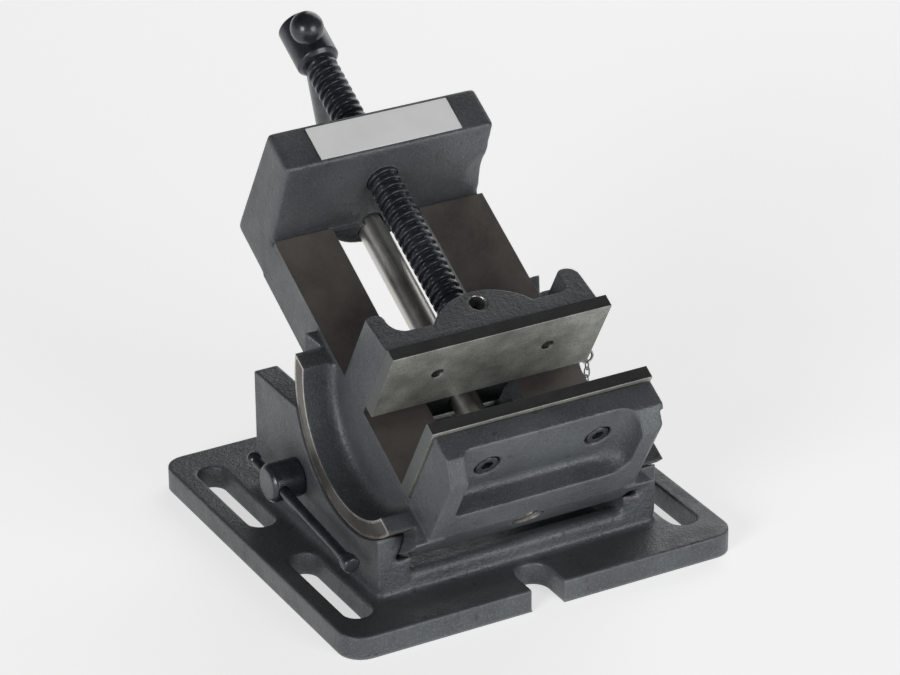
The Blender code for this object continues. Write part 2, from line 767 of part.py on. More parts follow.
def draft_cutter():
    """A wedge that leans the right sides of the fixed jaw and the rear wall inward toward their tops."""
    over = CUT_OVERRUN
    slope = RIGHT_SIDE_DRAFT / REAR_WALL_HEIGHT
    outline = [
        (HALF_BODY, SLIDE_Z),
        (HALF_BODY + over, SLIDE_Z),
        (HALF_BODY + over, WALL_TOP_Z + over),
        (HALF_BODY - slope * (REAR_WALL_HEIGHT + over), WALL_TOP_Z + over),
    ]
    return prism(outline, "Y", FRONT_Y - over, BODY_REAR_Y + over)


def corner_cutter():
    """What the rounding takes off the fixed jaw's front right corner."""
    over = CUT_OVERRUN
    radius = FRONT_CORNER_RADIUS
    round_part = arc((HALF_BODY - radius, FRONT_Y + radius), radius, 0, -math.pi / 2)
    outline = [
        (HALF_BODY - radius, FRONT_Y - over),
        (HALF_BODY + over, FRONT_Y - over),
        (HALF_BODY + over, FRONT_Y + radius),
        *round_part,
    ]
    return prism(outline, "Z", -SECTOR_END_DROP, CASTING_TOP_Z + over)


def hollow_curve(depth, radius):
    """How far a side has come in where it curves to the pocket's back, at a depth from its front."""
    along = max(0, depth - (POCKET_DEPTH - radius))
    return radius - math.sqrt(max(0, radius ** 2 - along ** 2))


def pocket_cutter(steps=6):
    """The recess in front of the fixed jaw, whose floor and ends curve into its back."""
    half = POCKET_WIDTH / 2
    floor = SLIDE_Z + POCKET_FLOOR_RISE
    top = CASTING_TOP_Z + CUT_OVERRUN
    corner = POCKET_CORNER_RADIUS
    depths = [-CUT_OVERRUN]
    for k in range(steps + 1):
        depths.append(POCKET_DEPTH - POCKET_RIGHT_RADIUS * (1 - math.sin(math.pi / 2 * k / steps)))
    rings = []
    for depth in depths:
        left = SCREW_X - half + hollow_curve(depth, POCKET_LEFT_RADIUS)
        right = SCREW_X + half - hollow_curve(depth, POCKET_RIGHT_RADIUS)
        low = floor + hollow_curve(depth, POCKET_FLOOR_RADIUS)
        outline = rounded([(left, top, 0), (left, low, corner / 3), (right, low, corner), (right, top, 0)])
        rings.append([(x, FRONT_Y + depth, z) for x, z in outline])
    return loft(rings)


def body_bores():
    """Lead screw bore, guide rod bores and the fixed plate's screw holes."""
    rear = REAR_WALL_FOOT_Y - CUT_OVERRUN
    bores = (
        (rear, BODY_REAR_Y + CUT_OVERRUN, SCREW_Z, THREAD_RADIUS + GAP),
        (rear, REAR_WALL_FOOT_Y + ROD_SEAT_DEPTH, ROD_Z, ROD_RADIUS + GAP),
        (FRONT_Y - CUT_OVERRUN, FIXED_FACE_Y + CUT_OVERRUN, ROD_Z, ROD_HOLE_RADIUS),
    )
    shapes = []
    for front, end, z, radius in bores:
        shapes.append(rod_shape((SCREW_X, front, z), (SCREW_X, end, z), radius, FINE_SIDES))
    for side in SIDES.values():
        x = side * PLATE_SCREW_SPACING / 2
        mouth = POCKET_BACK_Y - CUT_OVERRUN
        step = POCKET_BACK_Y + COUNTERBORE_DEPTH
        seat = FIXED_SEAT_Y + CUT_OVERRUN
        bore = PLATE_SCREW_RADIUS + GAP
        profile = [(mouth, COUNTERBORE_RADIUS), (step, COUNTERBORE_RADIUS), (step, bore), (seat, bore)]
        shapes.append(lathe(profile, ROUND_SIDES, Matrix.Translation((x, 0, PLATE_SCREW_Z))))
    return merged(*shapes)


def scoop_shape():
    """The shallow hollow in the rear wall's lower right corner."""
    shape = ball_shape(1, sides=ROUND_SIDES)
    size = Matrix.Diagonal((SCOOP_WIDTH, SCOOP_DEPTH, SCOOP_HEIGHT, 1))
    place = Matrix.Translation((HALF_BODY, REAR_WALL_FOOT_Y, SLIDE_Z + SCOOP_RISE))
    bmesh.ops.transform(shape, matrix=place @ size, verts=shape.verts)
    return shape


def jaw_plate(name, look, frame, face_y, back_y, bottom_z):
    """A steel jaw plate with its two screw holes right through."""
    low_y, high_y = sorted((face_y, back_y))
    plate = solid(name, block((-HALF_JAW, low_y, bottom_z), (HALF_JAW, high_y, JAW_TOP_Z)), look, frame)
    holes = []
    for side in SIDES.values():
        x = side * PLATE_SCREW_SPACING / 2
        start = (x, low_y - CUT_OVERRUN, PLATE_SCREW_Z)
        end = (x, high_y + CUT_OVERRUN, PLATE_SCREW_Z)
        holes.append(rod_shape(start, end, PLATE_SCREW_RADIUS + GAP, SMALL_SIDES))
    cut(plate, merged(*holes))
    return plate


def ear_outline(ear_width, ear_radius, notch_radius):
    """Top view of one ear and its notch, from the front face round to the boss, at +X."""
    web = MOVING_SEAT_Y + MOVING_JAW_WEB
    ear_inner = HALF_MOVING_JAW - ear_width
    return rounded([
        (HALF_MOVING_JAW, MOVING_SEAT_Y + GAP, 0),
        (HALF_MOVING_JAW, MOVING_REAR_Y, ear_radius),
        (ear_inner, MOVING_REAR_Y, EAR_INNER_RADIUS),
        (ear_inner, web, notch_radius),
        (BOSS_HALF_WIDTH, web, 0),
    ])


def moving_jaw_outline():
    """Top view of the moving jaw: web, round centre boss and two ears."""
    sagitta = MOVING_JAW_DEPTH - BOSS_SIDE_DEPTH
    radius = (BOSS_HALF_WIDTH ** 2 + sagitta ** 2) / (2 * sagitta)
    spread = math.asin(BOSS_HALF_WIDTH / radius)
    boss = arc((0, MOVING_REAR_Y - radius), radius, math.pi / 2 - spread, math.pi / 2 + spread)
    right = ear_outline(RIGHT_EAR_WIDTH, RIGHT_EAR_RADIUS, RIGHT_NOTCH_RADIUS)
    left = ear_outline(LEFT_EAR_WIDTH, LEFT_EAR_RADIUS, LEFT_NOTCH_RADIUS)
    outline = right + boss + [(-x, y) for x, y in reversed(left)]
    return [(SCREW_X + x, y) for x, y in outline]


def moving_jaw(look, frame):
    bottom = SLIDE_Z + GAP
    jaw = solid("moving_jaw", prism(moving_jaw_outline(), "Z", bottom, CASTING_TOP_Z), look, frame)
    guide_half = RAIL_SLOT_WIDTH / 2 - GAP
    front = MOVING_SEAT_Y + GAP
    guide_low = (SCREW_X - guide_half, front, SLIDE_Z - GUIDE_DEPTH)
    guide_high = (SCREW_X + guide_half, front + GUIDE_LENGTH, SLIDE_Z + CUT_OVERRUN)
    join(jaw, block(guide_low, guide_high))
    fall = MOVING_JAW_TOP_FALL / MOVING_JAW_DEPTH
    over = CUT_OVERRUN
    half = HALF_MOVING_JAW + SCREW_OFFSET + over
    slope = [
        (front, CASTING_TOP_Z),
        (MOVING_REAR_Y + over, CASTING_TOP_Z - fall * (MOVING_JAW_DEPTH + over)),
        (MOVING_REAR_Y + over, CASTING_TOP_Z + over),
        (front, CASTING_TOP_Z + over),
    ]
    cut(jaw, prism(slope, "X", -half, half))
    cut(jaw, moving_jaw_bores())
    cut(jaw, retainer_bore())
    return jaw


def moving_jaw_bores():
    """Journal bore, guide rod bore and the plate's screw holes."""
    front = MOVING_SEAT_Y - CUT_OVERRUN
    rear = MOVING_REAR_Y + CUT_OVERRUN
    journal_end = THREAD_START_Y - JOURNAL_LENGTH - GAP
    shapes = [
        rod_shape((SCREW_X, journal_end, SCREW_Z), (SCREW_X, rear, SCREW_Z), JOURNAL_RADIUS + GAP),
        rod_shape((SCREW_X, front, ROD_Z), (SCREW_X, rear, ROD_Z), ROD_RADIUS + GAP),
    ]
    for side in SIDES.values():
        bore = PLATE_SCREW_RADIUS + GAP
        face = MOVING_SPOT_Y
        profile = [(front, bore), (face, bore), (face, COUNTERBORE_RADIUS), (rear, COUNTERBORE_RADIUS)]
        place = Matrix.Translation((side * PLATE_SCREW_SPACING / 2, 0, PLATE_SCREW_Z))
        shapes.append(lathe(profile, ROUND_SIDES, place))
    return merged(*shapes)


def retainer_place():
    """Where the retaining screw stands: its Y, foot Z and top Z."""
    y = MOVING_SEAT_Y + RETAINER_SET_BACK
    foot = SCREW_Z + JOURNAL_RADIUS - JOURNAL_GROOVE_DEPTH + GAP
    return y, foot, foot + RETAINER_LENGTH


def retainer_bore():
    """The retaining screw's hole down to the journal, with a countersunk mouth."""
    y = retainer_place()[0]
    bore = RETAINER_RADIUS + GAP
    mouth = CASTING_TOP_Z - SCREW_Z - MOVING_JAW_TOP_FALL * RETAINER_SET_BACK / MOVING_JAW_DEPTH
    sink = RETAINER_COUNTERSINK
    over = CUT_OVERRUN
    profile = [(0, bore), (mouth - sink, bore), (mouth + over, bore + sink + over)]
    turn = Matrix.Translation((SCREW_X, y, SCREW_Z)) @ Matrix.Rotation(math.pi / 2, 4, "X")
    return lathe(profile, ROUND_SIDES, turn)


def retainer_screw(look, frame):
    y, foot, top = retainer_place()
    chamfer = RETAINER_RADIUS / 6
    shape = rod_shape((SCREW_X, y, foot), (SCREW_X, y, top), RETAINER_RADIUS, SMALL_SIDES, chamfer)
    screw = solid("retainer_screw", shape, look, frame, smooth=True)
    socket = SOCKET_ACROSS_CORNERS / 2 * RETAINER_RADIUS / PLATE_SCREW_HEAD_RADIUS
    start = (SCREW_X, y, top - SOCKET_DEPTH)
    cut(screw, rod_shape(start, (SCREW_X, y, top + CUT_OVERRUN), socket, SOCKET_SIDES))
    return screw


def guide_rod(look, frame):
    end = REAR_WALL_FOOT_Y + ROD_SEAT_DEPTH - GAP
    start = (SCREW_X, ROD_FRONT_Y, ROD_Z)
    shape = rod_shape(start, (SCREW_X, end, ROD_Z), ROD_RADIUS, FINE_SIDES, ROD_CHAMFER)
    return solid("guide_rod", shape, look, frame, smooth=True)


def lead_screw(look, frame):
    """Journal, thread and cross-drilled head, about the frame's Y axis."""
    tip = THREAD_START_Y - JOURNAL_LENGTH
    groove_y = MOVING_SEAT_Y + RETAINER_SET_BACK
    root = JOURNAL_RADIUS - JOURNAL_GROOVE_DEPTH
    half = JOURNAL_GROOVE_WIDTH / 2 + RETAINER_RADIUS
    chamfer = SCREW_HEAD_CHAMFER
    shoulder = SCREW_SHOULDER_CHAMFER
    head_end = HEAD_START_Y + SCREW_HEAD_LENGTH
    core = THREAD_RADIUS - THREAD_DEPTH * 1.5
    overlap = THREAD_PITCH / 2
    thread = thread_shape(THREAD_START_Y, HEAD_START_Y + overlap)
    screw = solid("lead_screw", thread, look, frame, smooth=True)
    journal = lathe([
        (tip, JOURNAL_RADIUS - chamfer),
        (tip + chamfer, JOURNAL_RADIUS),
        (groove_y - half, JOURNAL_RADIUS),
        (groove_y - half, root),
        (groove_y + half, root),
        (groove_y + half, JOURNAL_RADIUS),
        (THREAD_START_Y + overlap, JOURNAL_RADIUS),
    ])
    head = lathe([
        (HEAD_START_Y, core),
        (HEAD_START_Y, SCREW_HEAD_RADIUS - shoulder),
        (HEAD_START_Y + shoulder, SCREW_HEAD_RADIUS),
        (head_end - chamfer, SCREW_HEAD_RADIUS),
        (head_end, SCREW_HEAD_RADIUS - chamfer),
    ], FINE_SIDES)
    join(screw, journal)
    join(screw, head)
    reach = SCREW_HEAD_RADIUS + CUT_OVERRUN
    way = Vector((-math.sin(HANDLE_ANGLE), 0, math.cos(HANDLE_ANGLE))) * reach
    middle = Vector((0, HANDLE_Y, 0))
    cut(screw, rod_shape(middle - way, middle + way, HANDLE_RADIUS + GAP))
    return screw


def handle(looks, frame):
    """The bar along the frame's Z axis and a ball on each end."""
    bar = rod_shape((0, 0, -HANDLE_FAR), (0, 0, HANDLE_NEAR), HANDLE_RADIUS)
    solid("handle_bar", bar, looks["black"], frame, smooth=True)
    for name, end, inward in (("near", HANDLE_NEAR, -1), ("far", -HANDLE_FAR, 1)):
        shape = ball_shape(HANDLE_BALL_RADIUS, (0, 0, end))
        ball = solid("handle_ball_" + name, shape, looks["black"], frame, smooth=True)
        ends = sorted((end - inward * GAP, end + inward * HANDLE_BALL_RADIUS * 2))
        cut(ball, rod_shape((0, 0, ends[0]), (0, 0, ends[1]), HANDLE_RADIUS + GAP))


def label(look, frame):
    low = WALL_TOP_Z + LABEL_GAP
    half_width = LABEL_WIDTH / 2
    half_depth = LABEL_DEPTH / 2
    near = (-half_width, LABEL_Y - half_depth, low)
    far = (half_width, LABEL_Y + half_depth, low + LABEL_THICKNESS)
    return solid("label_plate", block(near, far), look, frame)


def lock_screw(look, frame):
    """Head and shank along X: the frame's origin is on the wall's outer face."""
    chamfer = LOCK_HEAD_RADIUS / 10
    profile = [
        (GAP, LOCK_SHANK_RADIUS),
        (GAP, LOCK_HEAD_RADIUS - chamfer),
        (GAP + chamfer, LOCK_HEAD_RADIUS),
        (LOCK_HEAD_LENGTH - chamfer, LOCK_HEAD_RADIUS),
        (LOCK_HEAD_LENGTH, LOCK_HEAD_RADIUS - chamfer),
    ]
    nose = -(WALL_THICKNESS - GAP)
    profile = [(nose, LOCK_SHANK_RADIUS - chamfer), (nose + chamfer, LOCK_SHANK_RADIUS), *profile]
    turn = Matrix.Rotation(math.pi / 2, 4, "Z")
    screw = solid("lock_screw", lathe(profile, ROUND_SIDES, turn), look, frame, smooth=True)
    reach = LOCK_HEAD_RADIUS + CUT_OVERRUN
    way = Vector((0, math.cos(LOCK_BAR_ANGLE), math.sin(LOCK_BAR_ANGLE))) * reach
    middle = Vector((-LOCK_BAR_OFFSET, 0, 0))
    cut(screw, rod_shape(middle - way, middle + way, LOCK_BAR_RADIUS + GAP, SMALL_SIDES))
    return screw


def lock_bar(look, frame):
    """The bar along the frame's Y axis, with a ball behind and a cap in front."""
    bar = rod_shape((0, -LOCK_BAR_FRONT, 0), (0, LOCK_BAR_REAR, 0), LOCK_BAR_RADIUS, SMALL_SIDES)
    solid("lock_bar", bar, look, frame, smooth=True)
    bore = LOCK_BAR_RADIUS + GAP
    shape = ball_shape(LOCK_BALL_RADIUS, (0, LOCK_BAR_REAR, 0))
    ball = solid("lock_bar_ball", shape, look, frame, smooth=True)
    bore_start = (0, LOCK_BAR_REAR - LOCK_BALL_RADIUS * 2, 0)
    cut(ball, rod_shape(bore_start, (0, LOCK_BAR_REAR + GAP, 0), bore, SMALL_SIDES))
    tip = -LOCK_BAR_FRONT - LOCK_CAP_RADIUS
    crown = LOCK_CAP_RADIUS / 2
    profile = [
        (tip, LOCK_CAP_RADIUS - crown),
        (tip + crown / 3, LOCK_CAP_RADIUS - crown / 3),
        (tip + crown, LOCK_CAP_RADIUS),
        (tip + LOCK_CAP_LENGTH - crown, LOCK_CAP_RADIUS),
        (tip + LOCK_CAP_LENGTH, LOCK_CAP_RADIUS - crown / 2),
    ]
    cap = solid("lock_bar_cap", lathe(profile, SMALL_SIDES), look, frame, smooth=True)
    start = (0, -LOCK_BAR_FRONT - GAP, 0)
    cut(cap, rod_shape(start, (0, -LOCK_BAR_FRONT + LOCK_CAP_LENGTH, 0), bore, SMALL_SIDES))


def tether_eye(look, frame):
    """A screw eye whose ring stands off the right wall; the frame's origin is the ring's centre."""
    outer = (EYE_RADIUS + EYE_WIRE) * 2
    ring = wire_loop(outer, outer - GAP, EYE_WIRE)
    eye = solid("tether_eye", ring, look, frame, smooth=True)
    start = (-EYE_RADIUS, 0, 0)
    end = (-EYE_RADIUS - EYE_WIRE - EYE_STEM_LENGTH - EYE_SEAT_DEPTH, 0, 0)
    join(eye, rod_shape(end, start, EYE_STEM_RADIUS, SMALL_SIDES))
    return eye


def eye_bore():
    """The blind hole for the eye's stem in the right wall."""
    floor = HALF_CRADLE - EYE_SEAT_DEPTH - GAP
    start = (floor, EYE_Y, EYE_HEIGHT)
    end = (HALF_CRADLE + CUT_OVERRUN, EYE_Y, EYE_HEIGHT)
    return rod_shape(start, end, EYE_STEM_RADIUS + GAP, SMALL_SIDES)


def link_drop(index):
    """How far the centre of a link, counted from 0, hangs below the wire of the eye."""
    first = LINK_LENGTH / 2 - LINK_WIRE * 2 - EYE_WIRE - GAP
    pitch = LINK_LENGTH - LINK_WIRE * 4 - GAP
    return first + index * pitch


def chain(look, frame):
    for index in range(LINK_COUNT):
        shape = wire_loop(LINK_LENGTH, LINK_WIDTH, LINK_WIRE)
        turn = Matrix.Rotation(math.pi / 2 if index % 2 == 0 else 0, 4, "Z")
        place = Matrix.Translation((0, 0, -link_drop(index)))
        bmesh.ops.transform(shape, matrix=place @ turn, verts=shape.verts)
        solid("chain_link_%d" % (index + 1), shape, look, frame, smooth=True)


def index_pin(look, frame):
    """The pin below the last link; the frame's origin is the wire that its eye hangs by."""
    outer = (PIN_EYE_RADIUS + PIN_EYE_WIRE) * 2
    centre = -PIN_EYE_RADIUS
    shape = wire_loop(outer, outer - GAP, PIN_EYE_WIRE)
    bmesh.ops.transform(shape, matrix=Matrix.Translation((0, 0, centre)), verts=shape.verts)
    pin = solid("index_pin", shape, look, frame, smooth=True)
    shoulder = centre - PIN_EYE_RADIUS
    tip = shoulder - PIN_LENGTH
    chamfer = PIN_RADIUS / 4
    join(pin, rod_shape((0, 0, tip), (0, 0, shoulder), PIN_RADIUS, SMALL_SIDES, chamfer))
    return pin


def build():
    clear_scene()
    looks = {
        "cast": material("cast_paint", (0.085, 0.088, 0.092), 0.55, 0.4),
        "jaw": material("jaw_steel", (0.30, 0.31, 0.29), 0.4, 0.9),
        "black": material("black_oxide", (0.02, 0.021, 0.024), 0.35, 0.7),
        "bright": material("bright_steel", (0.62, 0.61, 0.58), 0.18, 1.0),
        "zinc": material("zinc_steel", (0.45, 0.45, 0.44), 0.3, 0.9),
        "label": material("label_film", (0.80, 0.81, 0.82), 0.4, 0.0),
    }
    base = base_casting(looks["cast"])
    cut(base, eye_bore())
    solid("lock_shoe", shoe_shape(), looks["zinc"])

    tilting = empty("tilt_axis", (0, AXIS_Y, AXIS_HEIGHT), (TILT, 0, 0))
    vise_body(looks["cast"], tilting)
    guide_rod(looks["bright"], tilting)
    label(looks["label"], tilting)
    plate_look = looks["jaw"]
    jaw_plate("fixed_jaw_plate", plate_look, tilting, FIXED_FACE_Y, FIXED_SEAT_Y, SLIDE_Z + GAP)
    carriage = empty("jaw_slide_axis", parent=tilting)
    moving_jaw(looks["cast"], carriage)
    lifted = SLIDE_Z + MOVING_PLATE_LIFT
    jaw_plate("moving_jaw_plate", plate_look, carriage, MOVING_FACE_Y, MOVING_SEAT_Y, lifted)
    retainer_screw(looks["zinc"], carriage)
    for name, side in SIDES.items():
        x = side * PLATE_SCREW_SPACING / 2
        seat = POCKET_BACK_Y + COUNTERBORE_DEPTH - GAP
        tip = FIXED_FACE_Y - PLATE_SCREW_TIP_RECESS
        socket_screw("fixed_jaw_screw_" + name, looks["black"], tilting, seat, tip, x, PLATE_SCREW_Z, -1)
        seat = MOVING_SPOT_Y + GAP
        tip = MOVING_FACE_Y + PLATE_SCREW_TIP_RECESS
        socket_screw("moving_jaw_screw_" + name, looks["black"], carriage, seat, tip, x, PLATE_SCREW_Z, 1)

    screw_axis = empty("screw_axis", (SCREW_X, 0, SCREW_Z), parent=carriage)
    lead_screw(looks["black"], screw_axis)
    handle_axis = empty("handle_axis", (0, HANDLE_Y, 0), (0, -HANDLE_ANGLE, 0), screw_axis)
    handle(looks, handle_axis)

    lock_axis = empty("lock_axis", (-HALF_CRADLE, LOCK_Y, LOCK_HEIGHT))
    lock_screw(looks["black"], lock_axis)
    bar_axis = empty("lock_bar_axis", (-LOCK_BAR_OFFSET, 0, 0), (LOCK_BAR_ANGLE, 0, 0), lock_axis)
    lock_bar(looks["black"], bar_axis)

    eye_x = HALF_CRADLE + EYE_STEM_LENGTH + EYE_RADIUS + EYE_WIRE
    eye_frame = empty("eye_frame", (eye_x, EYE_Y, EYE_HEIGHT))
    tether_eye(looks["zinc"], eye_frame)
    swing = empty("chain_axis", (0, 0, -EYE_RADIUS), parent=eye_frame)
    chain(looks["zinc"], swing)
    link_end = link_drop(LINK_COUNT - 1) + LINK_LENGTH / 2 - LINK_WIRE * 2
    pin_axis = empty("pin_axis", (0, 0, -(link_end - PIN_EYE_WIRE - GAP)), parent=swing)
    index_pin(looks["zinc"], pin_axis)


build()
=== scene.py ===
"""Looks of a tilting drill press vise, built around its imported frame. Metres, +Z up.

The castings are remeshed from the frame's own solids, so that as-cast edges can be softened and
machined faces kept crisp. Turned pieces are lathed anew with fine facets. Each finish is a node
material.
"""

import json
import math

import bmesh
import bpy
import numpy as np
from mathutils import Matrix, Vector


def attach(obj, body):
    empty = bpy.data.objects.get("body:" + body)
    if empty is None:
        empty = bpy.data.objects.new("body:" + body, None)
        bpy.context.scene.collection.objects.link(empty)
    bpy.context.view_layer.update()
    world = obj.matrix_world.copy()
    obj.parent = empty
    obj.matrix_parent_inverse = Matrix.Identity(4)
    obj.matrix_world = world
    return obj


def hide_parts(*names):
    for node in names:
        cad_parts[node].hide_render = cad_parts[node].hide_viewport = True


# Camera fitted to the photograph
CAMERA_TARGET = Vector((0.0035, 0, 0.0827))
CAMERA_AZIMUTH = math.radians(-28.92)
CAMERA_ELEVATION = math.radians(26.47)
CAMERA_ROLL = math.radians(-0.455)
CAMERA_DISTANCE = 1.6034
CAMERA_LENS = 156.5
SENSOR_WIDTH = 36

# Machined faces of the body casting, in the tilting frame
SLIDE_Z = -0.0125
RAIL_FRONT_Y = -0.0328
RAIL_REAR_Y = 0.0985
FLANGE_X = 0.0632
FLANGE_INNER_RADIUS = 0.0399
SEAT_RADIUS = 0.0475
FLANGE_RIM_WIDTH = 0.012

# Finish of each face of a casting
PAINTED, MILLED, FACED, BORED = range(4)

# How far a casting's vertex may lie from a face or bore whose finish it has
PLANE_SLACK = 0.00005
BORE_SLACK = 0.00015

# Remeshed castings. Each has rings of cells round a hollow, and rounds of smoothing in it
GRID = {
    "mode": "SHARP",
    "octree_depth": 8,
    "scale": 0.95,
    "sharpness": 1.0,
    "use_remove_disconnected": False,
}
FILLETS = {"base_casting": (4, 30), "vise_body": (2, 4), "moving_jaw": (3, 12)}
HOLLOW_LIMIT = -0.12
WALL_ROUNDS = 20
SOFTENING_ROUNDS = 3
SOFTENING_SHARE = 0.5

# Other fine meshes
WELD = 0.00001
FINE_SIDES = 96
DRILL_SIDES = 48
FINE_BEVEL = {
    "width": 0.00035,
    "segments": 2,
    "limit_method": "ANGLE",
    "angle_limit": math.radians(40),
}
FACE_WEIGHT = 100
WIRE_LEVELS = 2
SHARP_ANGLE = math.radians(35)

# Turned profiles: curve steps of a corner, the most of a side that it takes, and the radius share
# of the ring that ends a flat face
CORNER_STEPS = 4
CORNER_SHARE = 1 / 3
FACE_SHARE = 1 / 3

# Lead screw, along Y of the tilting frame
SCREW_X = -0.0016
SCREW_Z = 0.008
THREAD_START_Y = 0.0293
THREAD_LENGTH = 0.1369
THREAD_RADIUS = 0.007
THREAD_DEPTH = 0.0016
THREAD_PITCH = 0.00375
THREAD_SAMPLES = 24
THREAD_SIDES = 72
CREST_SHARE = 0.36
ROOT_SHARE = 0.22
RUN_OUT = 0.0015
SCREW_BORE_RADIUS = 0.0073
JOURNAL_RADIUS = 0.0052
JOURNAL_LENGTH = 0.0145
JOURNAL_CHAMFER = 0.001
HEAD_RADIUS = 0.0094
HEAD_LENGTH = 0.0226
HEAD_CHAMFER = 0.001
HEAD_ROUNDING = 0.0005
SHOULDER_CHAMFER = 0.0018
HANDLE_SET_BACK = 0.0093

# Retaining screw's hole in the moving jaw
RETAINER_Y = 0.0229
RETAINER_MOUTH_RADIUS = 0.0042

# Handle bar, along its own slide axis
HANDLE_RADIUS = 0.004
HANDLE_NEAR = 0.0156
HANDLE_FAR = 0.081
HANDLE_BALL_RADIUS = 0.00715
HANDLE_NECK_SHARE = 0.98
HANDLE_SHOULDER = 0.00858
HANDLE_ROUNDING = 0.0004
BALL_STEPS = 40
CROWN_SHARE = 0.01

# Guide rod, along Y of the tilting frame
ROD_RADIUS = 0.006
ROD_CHAMFER = 0.001
ROD_ROUNDING = ROD_CHAMFER / 3
ROD_Z = -0.0202
ROD_FRONT_Y = -0.0485
ROD_END_Y = 0.1172
ROD_HOLE_RADIUS = 0.007

# Lock screw, outward from the left cradle wall, and its bar
LOCK_HEAD_RADIUS = 0.0082
LOCK_HEAD_LENGTH = 0.0146
LOCK_HEAD_CHAMFER = 0.0016
LOCK_HEAD_ROUNDING = 0.00096
LOCK_FOOT_CHAMFER = 0.0003
LOCK_WALL_GAP = 0.0003
LOCK_SHANK_RADIUS = 0.005
LOCK_SHANK_LENGTH = 0.0106
LOCK_BAR_OFFSET = 0.0105
LOCK_BAR_RADIUS = 0.0022
LOCK_BAR_REAR = 0.0192
LOCK_BAR_FRONT = 0.0642
LOCK_NECK_SHARE = 0.97
LOCK_BALL_RADIUS = 0.0031
LOCK_CAP_RADIUS = 0.0036
LOCK_CAP_LENGTH = 0.007
LOCK_CAP_STEP = 0.0006
LOCK_COLLAR_LENGTH = 0.0024

# Cross holes of both heads
BORE_PLAY = 0.0003
BORE_OVERRUN = 0.004

# Materials: where most of a noise's values lie, how scratches are drawn out along Y and Z, and how
# much noise frays the lighter edges, partly rubbed paint and partly a painted highlight
NOISE_LOW = 0.3
NOISE_HIGH = 0.7
SCRATCH_STRETCH = (1.0, 0.1, 0.1)
FRAYING = 0.08

# Studio: the sky has a grey at each height, and each lamp a name, a place, a width and a power
FLOOR_SIZE = 30.0
FLOOR_DROP = 0.0002
FLOOR_GREY = 0.7
FLOOR_GLOW = 0.62
FLOOR_ROUGHNESS = 0.9
SKY_GREYS = ((0.0, 0.34), (0.25, 0.16), (0.7, 0.02))
SKY_STRENGTH = 1.0
LAMPS = (
    ("key", (-2.0, -1.1, 0.7), 0.9, 24),
    ("front", (0.7, -2.2, 0.5), 1.3, 24),
    ("rear", (1.5, 1.3, 1.0), 1.7, 15),
)


def tilting_frame(joints):
    """The body's own frame: its place from the tilt joint, its tilt from the jaw's slide."""
    slide = joints["jaw_slide"]["axis"]
    tilt = math.atan2(slide[2], slide[1])
    return Matrix.Translation(joints["tilt"]["pos_m"]) @ Matrix.Rotation(tilt, 4, "X")


def placed(name, data):
    """A new object of some data, in the scene."""
    made = bpy.data.objects.new(name, data)
    bpy.context.scene.collection.objects.link(made)
    return made


def shown(name, mesh, body, finishes, nodes=(), place=Matrix()):
    """Puts a mesh in the scene on a body, with its finish, in place of CAD nodes."""
    mesh.transform(place)
    mesh.materials.clear()
    for finish in finishes:
        mesh.materials.append(finish)
    piece = placed(name, mesh)
    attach(piece, body)
    if nodes:
        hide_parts(*nodes)


def evaluated(mesh, *modifiers):
    """The mesh after modifiers, each given as a type and its settings."""
    carrier = placed("carrier", mesh)
    for kind, settings in modifiers:
        modifier = carrier.modifiers.new(kind, kind)
        for key, value in settings.items():
            setattr(modifier, key, value)
    graph = bpy.context.evaluated_depsgraph_get()
    made = bpy.data.meshes.new_from_object(carrier.evaluated_get(graph))
    bpy.data.objects.remove(carrier)
    return made


def vectors(mesh, kind="co"):
    """The place of each vertex, or its normal where that is the kind."""
    flat = np.empty(len(mesh.vertices) * 3)
    mesh.vertices.foreach_get(kind, flat)
    return flat.reshape(-1, 3)


def edges(mesh):
    """The two vertices of each edge."""
    flat = np.empty(len(mesh.edges) * 2, int)
    mesh.edges.foreach_get("vertices", flat)
    return flat.reshape(-1, 2)


def neighbour_means(values, pairs, counts):
    """The mean of each vertex's neighbours, from the pairs of all edges and the counts of each."""
    total = np.zeros_like(values)
    np.add.at(total, pairs[:, 0], values[pairs[:, 1]])
    np.add.at(total, pairs[:, 1], values[pairs[:, 0]])
    return total / counts[:, None]


def relax(place, pairs, counts, share, rounds):
    """Moves each place towards the mean of its neighbours, by its share."""
    for _ in range(rounds):
        step = neighbour_means(place, pairs, counts) - place
        place += step * share[:, None] * SOFTENING_SHARE


def bulge(mesh, place, pairs, counts):
    """How far each vertex stands out of its neighbours, in edge lengths: below zero in a hollow."""
    span = np.linalg.norm(place[pairs[:, 0]] - place[pairs[:, 1]], axis=1).mean()
    outward = place - neighbour_means(place, pairs, counts)
    return (outward * vectors(mesh, "normal")).sum(1) / span


def soften(mesh, held, worn, rings, rounds):
    """Rounds a casting's edges a little and fills its inner corners more.

    The filling reaches some rings of cells. Vertices that are held stay, and worn ones are rounded
    further. How far each place stands out is kept as the attribute edge_wear_and_highlight.
    """
    place = vectors(mesh)
    pairs = edges(mesh)
    counts = np.maximum(np.bincount(pairs.ravel(), minlength=len(place)), 1)
    free = (~held).astype(float)
    hollow = bulge(mesh, place, pairs, counts) < HOLLOW_LIMIT
    for _ in range(rings):
        near = hollow[pairs].any(1)
        hollow[pairs[near].ravel()] = True
    share = hollow.astype(float)[:, None]
    for _ in range(rings):
        share = neighbour_means(share, pairs, counts)
    relax(place, pairs, counts, free, SOFTENING_ROUNDS)
    relax(place, pairs, counts, free * share[:, 0], rounds)
    relax(place, pairs, counts, free * worn, WALL_ROUNDS)
    mesh.vertices.foreach_set("co", place.ravel())
    mesh.update()
    # How far each place stands out: it drives lighter edges, part rubbed paint and part painted highlight.
    wear = neighbour_means(bulge(mesh, place, pairs, counts)[:, None], pairs, counts)[:, 0]
    layer = mesh.attributes.new("edge_wear_and_highlight", "FLOAT", "POINT")
    layer.data.foreach_set("value", wear.astype(np.float32))


